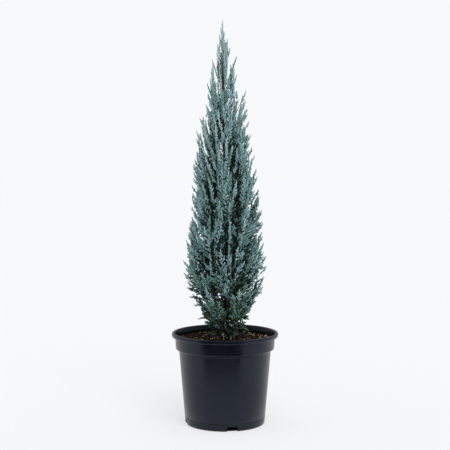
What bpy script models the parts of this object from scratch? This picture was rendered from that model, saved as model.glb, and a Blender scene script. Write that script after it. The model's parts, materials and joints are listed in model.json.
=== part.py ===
"""A rocky mountain juniper of the slim blue upright kind, standing in its black nursery pot.

Metres, +Z up. The origin is the middle of the pot's flat underside, and the viewer stands at -Y.
"""

import math
import random

import bmesh
import bpy
from mathutils import Vector

# Gap that touching pieces keep.
SEAT_GAP = 0.0003

# Nursery pot: a thin moulded tub with a rolled bead, a stepped collar and four drain slots in its foot.
POT_HEIGHT = 0.1637
POT_FOOT_RADIUS = 0.0712
POT_FOOT_FILLET = 0.004
POT_BODY_TOP = (0.0820, 0.1310)
COLLAR_FOOT = (0.0880, 0.1358)
COLLAR_TOP_RADIUS = 0.0889
BEAD_RADIUS = 0.0950
BEAD_HEIGHT = 0.0076
BEAD_INNER_RADIUS = 0.0893
BEAD_ROUND = 0.0024
POT_WALL = 0.0015
POT_FLOOR = 0.0022
POT_SEGMENTS = 36
ROUND_STEPS = 2
DRAIN_SLOTS = 4
DRAIN_SLOT_WIDTH = 0.0190
DRAIN_SLOT_HEIGHT = 0.0090
DRAIN_SLOT_DEPTH = 0.0085
DRAIN_SLOT_TURN = 10.6

# Potting mix, which fills the pot to a little under its rim.
SOIL_LEVEL = 0.1500
SOIL_SEGMENTS = 18
SOIL_SEAT_RADIUS = 0.0150
SOIL_RELIEF = 0.0012

# Trunk: a single stem that leans a little to the left as it rises.
TRUNK_FOOT = SOIL_LEVEL + SEAT_GAP
TRUNK_TOP = 0.6240
TRUNK_RADIUS = 0.0043
TRUNK_TIP_RADIUS = 0.0012
TRUNK_SIDES = 8
TRUNK_RINGS = 11
FLARE_RADIUS = 0.0056
FLARE_HEIGHT = 0.0100
FLARE_LOBES = 0.28
TRUNK_BASE_X = 0.0016
TRUNK_LEAN = -0.0062
TRUNK_SWAY = 0.0010
TRUNK_SWAYS = 2.5

# Crown outline: widest a third of the way up, drawn in at the foot and tapering to a spire.
CROWN_TOP = 0.7132
CROWN_WIDEST = 0.2790
CROWN_RADIUS = 0.0740
CROWN_SKIRT = 0.1550
SKIRT_SHARE = 0.46
SKIRT_POWER = 0.75
SPIRE_POWER = 0.60
OUTLINE_SLACK = 0.0040

# Limbs leave the trunk low and wide at the foot, and ever steeper towards the top. The rise is a limb's
# height gained for each metre that it moves out from the trunk.
RISE_LOW = 0.45
RISE_LOW_AT = 0.1550
RISE_GAIN = 11.0
RISE_CURVE = 1.2
RISE_SPAN = 0.0500

# The plumes wind up the trunk in one spiral. A turn has a name, the height on the trunk where its floor
# starts, how far its boughs run out before the foliage, and the side twigs of each of its plumes.
TURNS = (
    ("skirt", 0.1535, 0.0, 5),
    ("low", 0.1760, 0.0230, 7),
    ("waist", 0.2100, 0.0210, 7),
    ("mid", 0.2520, 0.0, 5),
    ("high", 0.3040, 0.0, 5),
    ("shoulder", 0.3660, 0.0, 4),
    ("neck", 0.4360, 0.0, 4),
    ("crest", 0.5120, 0.0, 4),
)
CREST_END = 0.5850
LEADER_FOOT = 0.6200
LEADER_LIFT = 0.0070
SPIRAL_START = 163.0
STEM_LIFT = 0.45
PLUME_WIDTH = 65.5
PLUME_WIDENING = 9.0
WIDENING_FROM = 3.5

# Boughs.
BOUGH_RADIUS = 0.0023
BOUGH_TIP_RADIUS = 0.0016
BOUGH_SIDES = 5
BOUGH_STEPS = 3

# Plumes: a stem that swells to a slim core, and side twigs set round it by the golden angle. Each twig ends
# in a spray of scale leaves, a toothed blade that reaches for the crown's outline. A tooth is (along, across)
# as shares of the spray's length and width.
STEM_RADIUS = 0.0014
STEM_TIP_RADIUS = 0.0010
STEM_SIDES = 4
STEM_STEPS = 3
STEM_SHARE = 0.74
CORE_SHARE = 0.52
CORE_LIMIT = 0.0125
TWIG_RADIUS = 0.0010
TWIG_SHARE = 0.26
FIRST_TWIG = 0.04
LAST_TWIG = 0.56
GOLDEN_ANGLE = 137.508
SIDE_SPREAD = 0.64
TIER_SPREAD = 0.38
SPRAY_WIDTH = 0.36
SPRAY_THICKNESS = 0.13
SPRAY_MIDDLE = 0.44
SPRAY_LEFT = ((0.26, 0.40), (0.34, 0.20), (0.58, 0.50))
SPRAY_RIGHT = ((0.40, 0.50), (0.48, 0.20), (0.74, 0.40))
SPRAY_SIZES = ((1.0, 1.0), (1.0, 0.7), (1.0, 0.5), (0.85, 0.7), (0.85, 0.5), (0.65, 0.6), (0.5, 0.5))
SPRAY_ROLL = 45.0
SPACE_MARGIN = 0.0007
SEED = 7

# Materials: name, colour, roughness, metallic.
PLASTIC = ("pot_plastic", (0.020, 0.022, 0.026), 0.45, 0.0)
MIX = ("potting_mix", (0.045, 0.028, 0.018), 0.95, 0.0)
BARK = ("bark", (0.150, 0.075, 0.035), 0.85, 0.0)
FOLIAGE = ("foliage", (0.160, 0.300, 0.290), 0.65, 0.0)


def finish(recipe):
    """The Principled material of a recipe, made once."""
    name, colour, roughness, metallic = recipe
    material = bpy.data.materials.get(name)
    if material is None:
        material = bpy.data.materials.new(name)
        material.use_nodes = True
        shader = material.node_tree.nodes["Principled BSDF"]
        shader.inputs["Base Color"].default_value = (*colour, 1.0)
        shader.inputs["Roughness"].default_value = roughness
        shader.inputs["Metallic"].default_value = metallic
    return material


def mesh_object(name, points, faces, recipe=None):
    """A linked mesh object from points and faces, with its normals facing out."""
    mesh = bpy.data.meshes.new(name)
    mesh.from_pydata([tuple(p) for p in points], [], faces)
    form = bmesh.new()
    form.from_mesh(mesh)
    bmesh.ops.recalc_face_normals(form, faces=form.faces)
    form.to_mesh(mesh)
    form.free()
    if recipe:
        mesh.materials.append(finish(recipe))
    made = bpy.data.objects.new(name, mesh)
    bpy.context.scene.collection.objects.link(made)
    return made


def turned(name, profile, segments, recipe):
    """A solid of revolution about Z. The profile of (radius, height) starts and ends on the axis."""
    form = bmesh.new()
    points = [form.verts.new((radius, 0.0, height)) for radius, height in profile]
    edges = [form.edges.new(pair) for pair in zip(points, points[1:])]
    bmesh.ops.spin(
        form,
        geom=points + edges,
        axis=(0.0, 0.0, 1.0),
        cent=(0.0, 0.0, 0.0),
        angle=2 * math.pi,
        steps=segments,
        use_merge=True,
    )
    bmesh.ops.remove_doubles(form, verts=form.verts, dist=1e-6)
    bmesh.ops.dissolve_degenerate(form, edges=form.edges, dist=1e-7)
    bmesh.ops.recalc_face_normals(form, faces=form.faces)
    mesh = bpy.data.meshes.new(name)
    form.to_mesh(mesh)
    form.free()
    mesh.materials.append(finish(recipe))
    made = bpy.data.objects.new(name, mesh)
    bpy.context.scene.collection.objects.link(made)
    return made


def arc(centre, radius, start, end):
    """Points of a round corner, from one angle to another in degrees."""
    steps = [math.radians(start + (end - start) * i / ROUND_STEPS) for i in range(ROUND_STEPS + 1)]
    return [(centre[0] + radius * math.cos(a), centre[1] + radius * math.sin(a)) for a in steps]


def pot_profile():
    """The pot's half section, from the middle of its underside round the bead to the middle of its floor."""
    fillet = POT_FOOT_FILLET
    bead_low = POT_HEIGHT - BEAD_HEIGHT
    outer = BEAD_RADIUS - BEAD_ROUND
    inner = BEAD_INNER_RADIUS + BEAD_ROUND
    profile = [(0.0, 0.0)]
    profile += arc((POT_FOOT_RADIUS - fillet, fillet), fillet, -90, 0)
    profile += [POT_BODY_TOP, COLLAR_FOOT, (COLLAR_TOP_RADIUS, bead_low)]
    profile += arc((outer, bead_low + BEAD_ROUND), BEAD_ROUND, -90, 0)
    profile += arc((outer, POT_HEIGHT - BEAD_ROUND), BEAD_ROUND, 0, 90)
    profile += arc((inner, POT_HEIGHT - BEAD_ROUND), BEAD_ROUND, 90, 180)
    profile += inner_wall()
    return profile


def inner_wall(clearance=0.0):
    """The pot's inside from the collar down to the middle of its floor, drawn in by a clearance."""
    inset = POT_WALL + clearance
    bead_low = POT_HEIGHT - BEAD_HEIGHT
    foot = POT_FOOT_RADIUS - inset
    floor = POT_FLOOR + clearance
    round_in = POT_FOOT_FILLET - POT_WALL
    return [
        (COLLAR_TOP_RADIUS - inset, bead_low),
        (COLLAR_FOOT[0] - inset, COLLAR_FOOT[1] + 0.4 * POT_WALL),
        (POT_BODY_TOP[0] - inset, POT_BODY_TOP[1] + 0.4 * POT_WALL),
        (foot, floor + round_in),
        (foot - round_in, floor),
        (0.0, floor),
    ]


def drain_slot(index):
    """A cutter through the foot's corner, for one drain slot."""
    turn = math.radians(DRAIN_SLOT_TURN + index * 360 / DRAIN_SLOTS)
    bpy.ops.mesh.primitive_cube_add(size=1.0)
    cutter = bpy.context.object
    cutter.name = f"drain_cutter_{index + 1}"
    inner = POT_FOOT_RADIUS - DRAIN_SLOT_DEPTH
    middle = inner + DRAIN_SLOT_DEPTH
    cutter.data.transform(scaling(2 * DRAIN_SLOT_DEPTH, DRAIN_SLOT_WIDTH, 2 * DRAIN_SLOT_HEIGHT))
    cutter.location = (middle * math.sin(turn), -middle * math.cos(turn), 0.0)
    cutter.rotation_euler = (0.0, 0.0, turn - math.pi / 2)
    cutter.hide_render = True
    cutter.display_type = "WIRE"
    return cutter


def scaling(x, y, z):
    """A scaling matrix."""
    matrix = Vector((x, y, z)).to_4d()
    return [[matrix[i] if i == j else 0.0 for j in range(4)] for i in range(3)] + [[0.0, 0.0, 0.0, 1.0]]


def build_pot():
    """The pot, with its drain slots cut."""
    pot = turned("pot", pot_profile(), POT_SEGMENTS, PLASTIC)
    for index in range(DRAIN_SLOTS):
        cut = pot.modifiers.new(f"drain_slot_{index + 1}", "BOOLEAN")
        cut.operation = "DIFFERENCE"
        cut.solver = "EXACT"
        cut.object = drain_slot(index)
    pot.data.shade_smooth()
    return pot


def soil_side():
    """The mix's side from its rim down, a seat gap inside the pot's wall."""
    wall = inner_wall(SEAT_GAP)
    (top_radius, top), (low_radius, low) = wall[0], wall[1]
    share = (SOIL_LEVEL - low) / (top - low)
    return [(low_radius + (top_radius - low_radius) * share, SOIL_LEVEL), *wall[1:]]


def build_soil():
    """The potting mix: flat where the trunk stands, and crumbly round it."""
    side = soil_side()
    rim = side[0][0]
    rings = [SOIL_SEAT_RADIUS + (rim - SOIL_SEAT_RADIUS) * share for share in (0.3, 0.65)]
    surface = [(0.0, SOIL_LEVEL), (SOIL_SEAT_RADIUS, SOIL_LEVEL)]
    surface += [(radius, SOIL_LEVEL) for radius in rings]
    soil = turned("potting_mix", surface + side, SOIL_SEGMENTS, MIX)
    rng = random.Random(SEED)
    for vertex in soil.data.vertices:
        radius = math.hypot(vertex.co.x, vertex.co.y)
        if vertex.co.z == max(vertex.co.z, SOIL_LEVEL - 1e-5) and rings[0] - 1e-5 < radius < rim - 1e-5:
            vertex.co.z += rng.uniform(-SOIL_RELIEF, SOIL_RELIEF)
    return soil


def trunk_centre(height):
    """The trunk's middle at a height."""
    share = max(0.0, (height - TRUNK_FOOT) / (CROWN_TOP - TRUNK_FOOT))
    sway = TRUNK_SWAY * math.sin(math.tau * TRUNK_SWAYS * share) * (1 - share)
    return Vector((TRUNK_BASE_X + TRUNK_LEAN * share**1.3 + sway, 0.6 * sway, height))


def trunk_radius(height):
    """The trunk's radius at a height, flare left out."""
    share = (height - TRUNK_FOOT) / (TRUNK_TOP - TRUNK_FOOT)
    return TRUNK_RADIUS + (TRUNK_TIP_RADIUS - TRUNK_RADIUS) * share


def tube_mesh(path, radii, sides, start_plane=None):
    """(points, faces) of a closed tapering tube. A radius is one number, or a pair: level, and across that.

    start_plane, (point, normal), slants its first end to a plane.
    """
    points, faces = [], []
    for index, (middle, radius) in enumerate(zip(path, radii)):
        wide, deep = radius if isinstance(radius, tuple) else (radius, radius)
        tangent = (path[min(index + 1, len(path) - 1)] - path[max(index - 1, 0)]).normalized()
        level, across = frame_of(tangent)
        for k in range(sides):
            angle = math.tau * k / sides
            point = middle + wide * math.cos(angle) * level + deep * math.sin(angle) * across
            if index == 0 and start_plane:
                origin, normal = start_plane
                point -= tangent * ((point - origin).dot(normal) / tangent.dot(normal))
            points.append(point)
    for index in range(len(path) - 1):
        for k in range(sides):
            a, b = index * sides + k, index * sides + (k + 1) % sides
            faces.append((a, b, b + sides, a + sides))
    faces.append(tuple(range(sides)))
    faces.append(tuple(range(len(points) - sides, len(points))))
    return points, faces


def frame_of(tangent):
    """(level, across): the level direction square to a line, and the one square to both."""
    level = tangent.cross(Vector((0.0, 0.0, 1.0)))
    if level.length < 1e-3:
        level = tangent.cross(Vector((0.0, -1.0, 0.0)))
    level.normalize()
    return level, level.cross(tangent).normalized()


def build_trunk():
    """The trunk, from its flat foot on the mix up to its tip, with the lobes of its root flare."""
    heights = [TRUNK_FOOT + FLARE_HEIGHT * share for share in (0.0, 0.35, 0.8, 1.5)]
    span = TRUNK_TOP - heights[-1]
    heights += [heights[-1] + span * (i + 1) / TRUNK_RINGS for i in range(TRUNK_RINGS)]
    points = []
    for height in heights:
        flare = math.exp(-3 * (height - TRUNK_FOOT) / FLARE_HEIGHT)
        for k in range(TRUNK_SIDES):
            angle = math.tau * k / TRUNK_SIDES
            lobe = 1 + FLARE_LOBES * math.cos(TRUNK_SIDES / 2 * angle) * flare
            radius = (trunk_radius(height) + FLARE_RADIUS * flare) * lobe
            points.append(trunk_centre(height) + radius * Vector((math.cos(angle), math.sin(angle), 0.0)))
    faces = []
    for ring in range(len(heights) - 1):
        for k in range(TRUNK_SIDES):
            a, b = ring * TRUNK_SIDES + k, ring * TRUNK_SIDES + (k + 1) % TRUNK_SIDES
            faces.append((a, b, b + TRUNK_SIDES, a + TRUNK_SIDES))
    faces.append(tuple(range(TRUNK_SIDES)))
    faces.append(tuple(range(len(points) - TRUNK_SIDES, len(points))))
    return mesh_object("trunk", points, faces, BARK)


def crown_radius(height):
    """How far the crown reaches from the trunk at a height."""
    if height >= CROWN_WIDEST:
        share = max(0.0, (CROWN_TOP - height) / (CROWN_TOP - CROWN_WIDEST))
        return CROWN_RADIUS * share**SPIRE_POWER
    share = max(0.0, (height - CROWN_SKIRT) / (CROWN_WIDEST - CROWN_SKIRT))
    return CROWN_RADIUS * (SKIRT_SHARE + (1 - SKIRT_SHARE) * share**SKIRT_POWER)


def rise(foot):
    """A limb's height gained for each metre out, for its foot on the trunk."""
    return RISE_LOW + RISE_GAIN * (foot - RISE_LOW_AT)


def curved(radius):
    """Distance out as the limbs' curve takes it: wide near the trunk, then steeper."""
    return radius**RISE_CURVE / RISE_SPAN ** (RISE_CURVE - 1)


def limb_height(foot, radius):
    """Height of a limb where it is this far out from the trunk."""
    return foot + rise(foot) * curved(radius)


def limb_foot(radius, height):
    """Foot on the trunk of the limb that would pass through a place."""
    out = curved(radius)
    return (height - (RISE_LOW - RISE_GAIN * RISE_LOW_AT) * out) / (1 + RISE_GAIN * out)


def polar(point):
    """(radius, azimuth) of a point about the trunk. Azimuth 0 is the viewer's side and 90 degrees the right."""
    away = point - trunk_centre(point.z)
    return math.hypot(away.x, away.y), math.atan2(away.x, -away.y)


def outward(azimuth):
    """The level direction at an azimuth."""
    return Vector((math.sin(azimuth), -math.cos(azimuth), 0.0))


def floor_foot(turn):
    """Height on the trunk of the spiral's floor, where the spiral has made this many turns."""
    if turn < 1:
        return TURNS[0][1]
    if turn >= len(TURNS):
        return LEADER_FOOT
    feet = [foot for _, foot, _, _ in TURNS] + [CREST_END]
    low, high = feet[int(turn)], feet[int(turn) + 1]
    return low + (high - low) * (turn - int(turn))


def tier_distance(point, foot):
    """How far a point lies above the surface that all limbs of one foot height sweep out."""
    radius, _ = polar(point)
    own = limb_foot(radius, point.z)
    slope = rise(own) * RISE_CURVE * (radius / RISE_SPAN) ** (RISE_CURVE - 1)
    return (own - foot) * (1 + RISE_GAIN * curved(radius)) / math.hypot(1, slope)


class Space:
    """The room of one plume: a slice of the spiral between two of its turns."""

    def __init__(self, turn, width, bough_out):
        self.turn, self.half_width = turn, width / 2
        self.azimuth = math.radians(SPIRAL_START) + math.tau * turn
        self.foot = self.foot_at(0.0, STEM_LIFT)
        self.inner = trunk_radius(self.foot) + SEAT_GAP
        self.bough_out = bough_out

    def foot_at(self, side, lift):
        """Height on the trunk of the limb at a place in the slice: side is -1 to 1, and lift is 0 to 1."""
        turn = self.turn + side * self.half_width / math.tau
        low, high = floor_foot(turn), floor_foot(turn + 1)
        return low + (high - low) * lift

    def at(self, radius, side=0.0, lift=STEM_LIFT):
        """The point this far out from the trunk, at a place in the slice."""
        height = limb_height(self.foot_at(side, lift), radius)
        return trunk_centre(height) + radius * outward(self.azimuth + side * self.half_width)

    def reach(self, side=0.0, lift=STEM_LIFT):
        """How far out a place in the slice meets the crown's outline."""
        foot = self.foot_at(side, lift)
        near, far = 0.0, CROWN_RADIUS
        for _ in range(30):
            radius = (near + far) / 2
            if crown_radius(limb_height(foot, radius)) > radius:
                near = radius
            else:
                far = radius
        return near

    def stem(self, root, share):
        """The point at a share of the way along the plume's middle line, which starts at root."""
        return self.at(root + (self.reach() - root) * share)

    def between(self, root, share, turn, way):
        """The point part of the way from a place on the stem to the outline, on the side that a turn gives."""
        side = SIDE_SPREAD * math.cos(turn)
        lift = STEM_LIFT + (0.5 - STEM_LIFT + TIER_SPREAD * math.sin(turn))
        near = root + (self.reach() - root) * share
        radius = near + (self.reach(side, lift) - near) * way
        return self.at(radius, side * way, STEM_LIFT + (lift - STEM_LIFT) * way)

    def room(self, point):
        """(sideways, across): how far a point lies inside the slice, each way."""
        radius, azimuth = polar(point)
        off = (azimuth - self.azimuth + math.pi) % math.tau - math.pi
        turn = self.turn + off / math.tau
        above = tier_distance(point, floor_foot(max(turn, 0.0)))
        below = -tier_distance(point, floor_foot(turn + 1))
        beside = radius * math.sin(max(-1.5, min(1.5, self.half_width - abs(off))))
        return beside, min(above, below, radius - trunk_radius(point.z))

    def holds(self, point):
        """Whether a point is clear of the neighbours, the trunk and the mix, and within the crown."""
        radius = polar(point)[0]
        if min(self.room(point)) < SPACE_MARGIN or point.z < SOIL_LEVEL + 3 * SPACE_MARGIN:
            return False
        outline = crown_radius(point.z) + OUTLINE_SLACK
        return trunk_radius(point.z) + 2 * SPACE_MARGIN < radius < outline


class LeaderSpace(Space):
    """The room of the leader's plume: all that is above the spiral's end."""

    def __init__(self):
        self.bough_out = 0.0

    def stem(self, root, share):
        """The point at a share of the way up the leader, which starts at the height root."""
        return trunk_centre(root + (CROWN_TOP - root) * share)

    def between(self, root, share, turn, way):
        """The point part of the way from a place on the leader to the outline, on the side that a turn gives."""
        low = root + (CROWN_TOP - root) * share
        height = low + 0.62 * (CROWN_TOP - low) * way
        return trunk_centre(height) + way * (crown_radius(height) + 0.5 * OUTLINE_SLACK) * outward(turn)

    def room(self, point):
        """(sideways, across): how far a point lies above the highest turn."""
        above = tier_distance(point, LEADER_FOOT + LEADER_LIFT)
        return above, above

    def holds(self, point):
        """Whether a point is above the trunk's tip and within the crown."""
        radius = polar(point)[0]
        clear = self.room(point)[0] > SPACE_MARGIN and point.z > TRUNK_TOP + 2 * SPACE_MARGIN
        return clear and radius < crown_radius(point.z) + OUTLINE_SLACK


def spray_mesh(foot, root, tip, face, widening):
    """(points, faces) of a side twig and its spray: a twig from foot to root, then a blade with forward teeth."""
    length = (tip - root).length
    way = (tip - root) / length
    across = way.cross(face).normalized()
    face = across.cross(way).normalized()
    width = SPRAY_WIDTH * widening * length
    left = [root + way * x * length + across * y * width for x, y in SPRAY_LEFT]
    right = [root + way * x * length - across * y * width for x, y in reversed(SPRAY_RIGHT)]
    outline = [root - across * TWIG_RADIUS, root + across * TWIG_RADIUS, *left, tip, *right]
    count = len(outline)
    points, faces = [foot, *outline], []
    for side in (1, -1):
        neck = len(points)
        middle = root + way * SPRAY_MIDDLE * length + face * side * SPRAY_THICKNESS * length / 2
        points += [root + face * side * TWIG_RADIUS, middle]
        faces += [(0, 1, neck), (0, neck, 2), (neck, 1, neck + 1), (2, neck, neck + 1)]
        faces += [(k, k % count + 1, neck + 1) for k in range(2, count + 1)]
    return points, faces


def fitted(space, make, clear_of):
    """(points, faces) of the first size of a shape that the space holds, clear of a bough, or None."""
    for share, widening in SPRAY_SIZES:
        points, faces = make(share, widening)
        if all(space.holds(p) and clear_of(p) for p in points[1:]):
            return points, faces
    return None


def grow_plume(name, space, root, plane, twigs, rng):
    """One plume from its root outwards: its stem, with side twigs and their sprays joined on.

    plane, (point, normal), cuts the stem's first end.
    """
    stem = [space.stem(root, STEM_SHARE * i / STEM_STEPS) for i in range(STEM_STEPS + 1)]
    body = tube_mesh(stem, core_radii(space, stem), STEM_SIDES, plane)
    guard = bough_guard(space)
    parts = []

    def spray(foot, neck, tip):
        """Adds a twig and its spray, which turns its flat side half outwards, to either side by turns."""
        roll = math.radians(SPRAY_ROLL) * (1 if len(parts) % 2 else -1)
        face = outward(polar(tip)[1] + roll)
        made = fitted(space, lambda size, wide: spray_mesh(foot, neck, neck.lerp(tip, size), face, wide), guard)
        if made:
            parts.append(made)

    spray(*[space.stem(root, share) for share in (STEM_SHARE - 0.14, STEM_SHARE - 0.08, 1.0)])
    turn = rng.uniform(0, math.tau)
    for index in range(twigs):
        turn += math.radians(GOLDEN_ANGLE)
        share = FIRST_TWIG + (LAST_TWIG - FIRST_TWIG) * index / (twigs - 1)
        jitter = rng.uniform(0.86, 1.0)
        spray(*[space.between(root, share, turn, way) for way in (0.0, TWIG_SHARE, jitter)])
    return joined(name, body, parts)


def core_radii(space, stem):
    """The stem's two radii at each point: it swells to a slim core where the plume has room."""
    last = len(stem) - 1
    radii = []
    for index, point in enumerate(stem):
        share = index / last
        slim = STEM_RADIUS + (STEM_TIP_RADIUS - STEM_RADIUS) * share
        swell = CORE_SHARE * math.sin(math.pi * share) ** 0.7
        radii.append(tuple(max(slim, min(CORE_LIMIT, swell * room)) for room in space.room(point)))
    return radii


def bough_guard(space):
    """A test that a point is clear of the plume's own bough."""
    if space.bough_out == 0.0:
        return lambda point: True
    line = bough_path(space)

    def clear(point):
        for a, b in zip(line, line[1:]):
            share = max(0.0, min(1.0, (point - a).dot(b - a) / (b - a).length_squared))
            if (point - a - (b - a) * share).length < BOUGH_RADIUS + 2 * SPACE_MARGIN:
                return False
        return True

    return clear


def joined(name, body, parts):
    """One closed solid of a stem and all that grows on it."""
    stem = mesh_object(name, *body, FOLIAGE)
    growth = bpy.data.collections.new(f"{name}_growth")
    bpy.context.scene.collection.children.link(growth)
    for points, faces in parts:
        piece = mesh_object("growth", points, faces, FOLIAGE)
        bpy.context.scene.collection.objects.unlink(piece)
        growth.objects.link(piece)
    union = stem.modifiers.new("join", "BOOLEAN")
    union.operation = "UNION"
    union.operand_type = "COLLECTION"
    union.solver = "MANIFOLD"
    union.collection = growth
    graph = bpy.context.evaluated_depsgraph_get()
    mesh = bpy.data.meshes.new_from_object(stem.evaluated_get(graph))
    stem.modifiers.clear()
    stem.data = mesh
    for piece in list(growth.objects):
        bpy.data.objects.remove(piece)
    bpy.data.collections.remove(growth)
    keep_largest(stem.data)
    return stem


def keep_largest(mesh):
    """Keeps a mesh's largest shell, so a hollow that the join sealed is filled and a loose scrap is dropped."""
    form = bmesh.new()
    form.from_mesh(mesh)
    left, shells = set(form.verts), []
    while left:
        shell, edge = set(), [left.pop()]
        while edge:
            vertex = edge.pop()
            shell.add(vertex)
            found = {other for link in vertex.link_edges for other in link.verts} & left
            left -= found
            edge.extend(found)
        shells.append(shell)
    shells.sort(key=len)
    for shell in shells[:-1]:
        bmesh.ops.delete(form, geom=list(shell), context="VERTS")
    form.to_mesh(mesh)
    form.free()


def bough_path(space):
    """A bough's middle line from the trunk's surface outwards."""
    radii = [space.inner + (space.bough_out - space.inner) * i / BOUGH_STEPS for i in range(BOUGH_STEPS + 1)]
    return [space.at(radius) for radius in radii]


def build_bough(name, space):
    """One bare limb, slanted to the trunk where it leaves it."""
    path = bough_path(space)
    radii = [BOUGH_RADIUS + (BOUGH_TIP_RADIUS - BOUGH_RADIUS) * i / BOUGH_STEPS for i in range(BOUGH_STEPS + 1)]
    plane = (space.at(space.inner), outward(space.azimuth))
    return mesh_object(name, *tube_mesh(path, radii, BOUGH_SIDES, plane), BARK)


def build_crown():
    """The boughs and plumes of every turn, and the leader's plume at the very top."""
    rng = random.Random(SEED)
    counts = {tier: 0 for tier, *_ in TURNS}
    start = 0.0
    while start < len(TURNS):
        width = PLUME_WIDTH + PLUME_WIDENING * max(0.0, start - WIDENING_FROM)
        end = start + width / 360
        if len(TURNS) - end < 0.5 * width / 360:
            end = float(len(TURNS))
        turn = (start + end) / 2
        tier, _, bough_out, twigs = TURNS[int(turn)]
        counts[tier] += 1
        space = Space(turn, math.tau * (end - start), bough_out)
        root, plane = space.inner, (space.at(space.inner), outward(space.azimuth))
        if bough_out:
            build_bough(f"{tier}_bough_{counts[tier]}", space)
            slope = rise(space.foot) * RISE_CURVE * (bough_out / RISE_SPAN) ** (RISE_CURVE - 1)
            root, plane = bough_out + SEAT_GAP / math.hypot(1, slope), None
        grow_plume(f"{tier}_plume_{counts[tier]}", space, root, plane, twigs, rng)
        start = end
    root = TRUNK_TOP + SEAT_GAP
    grow_plume("leader_plume", LeaderSpace(), root, (trunk_centre(root), Vector((0.0, 0.0, 1.0))), 3, rng)


def main():
    """Clears the scene, then builds the pot, the mix, the trunk and the crown."""
    for old in list(bpy.data.objects):
        bpy.data.objects.remove(old)
    build_pot()
    build_soil()
    build_trunk()
    build_crown()


main()
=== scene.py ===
"""The looks of a rocky mountain juniper of the slim blue upright kind, in its black nursery pot.

Metres, +Z up, and the viewer stands at -Y. The crown grows by the rule that the part's own source follows: plumes
wind up the trunk in one spiral, and each carries side twigs by the golden angle. Here every twig is carried on to
feathery branchlets and to the shoots of scale leaves that cover them.
"""

import json
import logging
import math
import random
from dataclasses import dataclass, field
from enum import Enum
from typing import Callable, Iterable, NamedTuple, Sequence

import bmesh
import bpy
from mathutils import Matrix, Vector, noise

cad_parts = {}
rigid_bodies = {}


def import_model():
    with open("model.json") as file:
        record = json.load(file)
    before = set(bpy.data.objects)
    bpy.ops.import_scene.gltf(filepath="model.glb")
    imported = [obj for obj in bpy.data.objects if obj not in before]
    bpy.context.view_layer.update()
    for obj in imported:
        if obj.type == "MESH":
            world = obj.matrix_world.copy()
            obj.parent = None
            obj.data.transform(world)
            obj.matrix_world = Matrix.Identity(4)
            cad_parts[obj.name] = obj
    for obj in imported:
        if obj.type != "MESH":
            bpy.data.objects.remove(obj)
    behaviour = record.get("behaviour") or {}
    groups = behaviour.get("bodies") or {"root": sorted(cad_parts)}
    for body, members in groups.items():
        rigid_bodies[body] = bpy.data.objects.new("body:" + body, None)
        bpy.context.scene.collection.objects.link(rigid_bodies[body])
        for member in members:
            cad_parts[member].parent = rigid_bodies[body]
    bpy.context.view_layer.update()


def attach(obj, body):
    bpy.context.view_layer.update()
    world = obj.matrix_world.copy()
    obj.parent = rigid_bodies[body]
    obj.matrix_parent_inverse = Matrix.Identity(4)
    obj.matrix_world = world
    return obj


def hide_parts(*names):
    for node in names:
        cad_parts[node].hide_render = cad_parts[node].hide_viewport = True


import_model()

log = logging.getLogger("juniper")

BODY = "root"
UP = Vector((0.0, 0.0, 1.0))
GOLDEN_ANGLE = math.radians(137.508)
MM = 0.001

Piece = bpy.types.Object
Material = bpy.types.Material
Socket = bpy.types.NodeSocket
Corner = Sequence[float]
Pair = tuple[float, float]
Triple = tuple[float, float, float]
Stops = tuple[tuple[float, str], ...]
Shoots = tuple[tuple[float, ...], ...]
Allowed = Callable[[Vector], bool]
Height = float | Callable[[float, float], float]


class Slot(Enum):
    """The record's material slots."""

    PLASTIC = "pot_plastic"
    MIX = "potting_mix"
    BARK = "bark"
    FOLIAGE = "foliage"


class Tint(Enum):
    """The colours of the scale leaves, dealt out by spray."""

    BLOOM = 0
    BLUE = 1
    TEAL = 2
    SHADE = 3
    GREEN = 4
    MOSS = 5


class Wood(Enum):
    """The kinds of a twig's wood."""

    OLD = 0
    YOUNG = 1
    DEAD = 2


class ShootForm(Enum):
    """The shapes of a shoot of scale leaves."""

    LEADING = 0
    BEARING = 1
    SHORT = 2
    SIDE = 3


class ShootMake(NamedTuple):
    """The make of a unit shoot: its whorls, how much its tip is slimmer, its bend, and its scales' bulge."""

    whorls: int
    slim: float
    bend: float
    bulge: float


SHOOT_MAKES: dict[ShootForm, ShootMake] = {
    ShootForm.LEADING: ShootMake(5, 0.50, 0.3, 0.74),
    ShootForm.BEARING: ShootMake(3, 0.24, 0.6, 0.74),
    ShootForm.SHORT: ShootMake(2, 0.16, 0.5, 0.74),
    ShootForm.SIDE: ShootMake(1, 0.16, 0.5, 0.5),
}


# Small helpers.


def linear(colour: str) -> tuple[float, float, float, float]:
    """Turns an sRGB hex colour to linear.

    Args:
        colour: the colour, such as "#8FA9AC".

    Returns:
        Red, green, blue and an alpha of one.
    """
    parts = [int(colour[place : place + 2], 16) / 255 for place in (1, 3, 5)]
    red, green, blue = (s / 12.92 if s <= 0.04045 else ((s + 0.055) / 1.055) ** 2.4 for s in parts)
    return red, green, blue, 1.0


def clamp(value: float) -> float:
    """Keeps a share between 0 and 1."""
    return max(0.0, min(1.0, value))


def eased(value: float, low: float, high: float) -> float:
    """Gives how far a value has gone from low to high, from 0 to 1, with a soft start and end."""
    share = clamp((value - low) / (high - low))
    return share * share * (3 - 2 * share)


def shares(steps: int) -> list[float]:
    """Gives the shares of a way at even steps, with both its ends."""
    return [step / steps for step in range(steps + 1)]


def turned(azimuth: float, side: float) -> float:
    """Gives how far an azimuth is turned from another, by half a turn at most."""
    return (azimuth - side + math.pi) % math.tau - math.pi


def outward(azimuth: float) -> Vector:
    """Gives the level direction at an azimuth."""
    return Vector((math.sin(azimuth), -math.cos(azimuth), 0.0))


def length_of(path: Sequence[Vector]) -> float:
    """Gives the length of a line."""
    return sum((b - a).length for a, b in zip(path, path[1:]))


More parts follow.
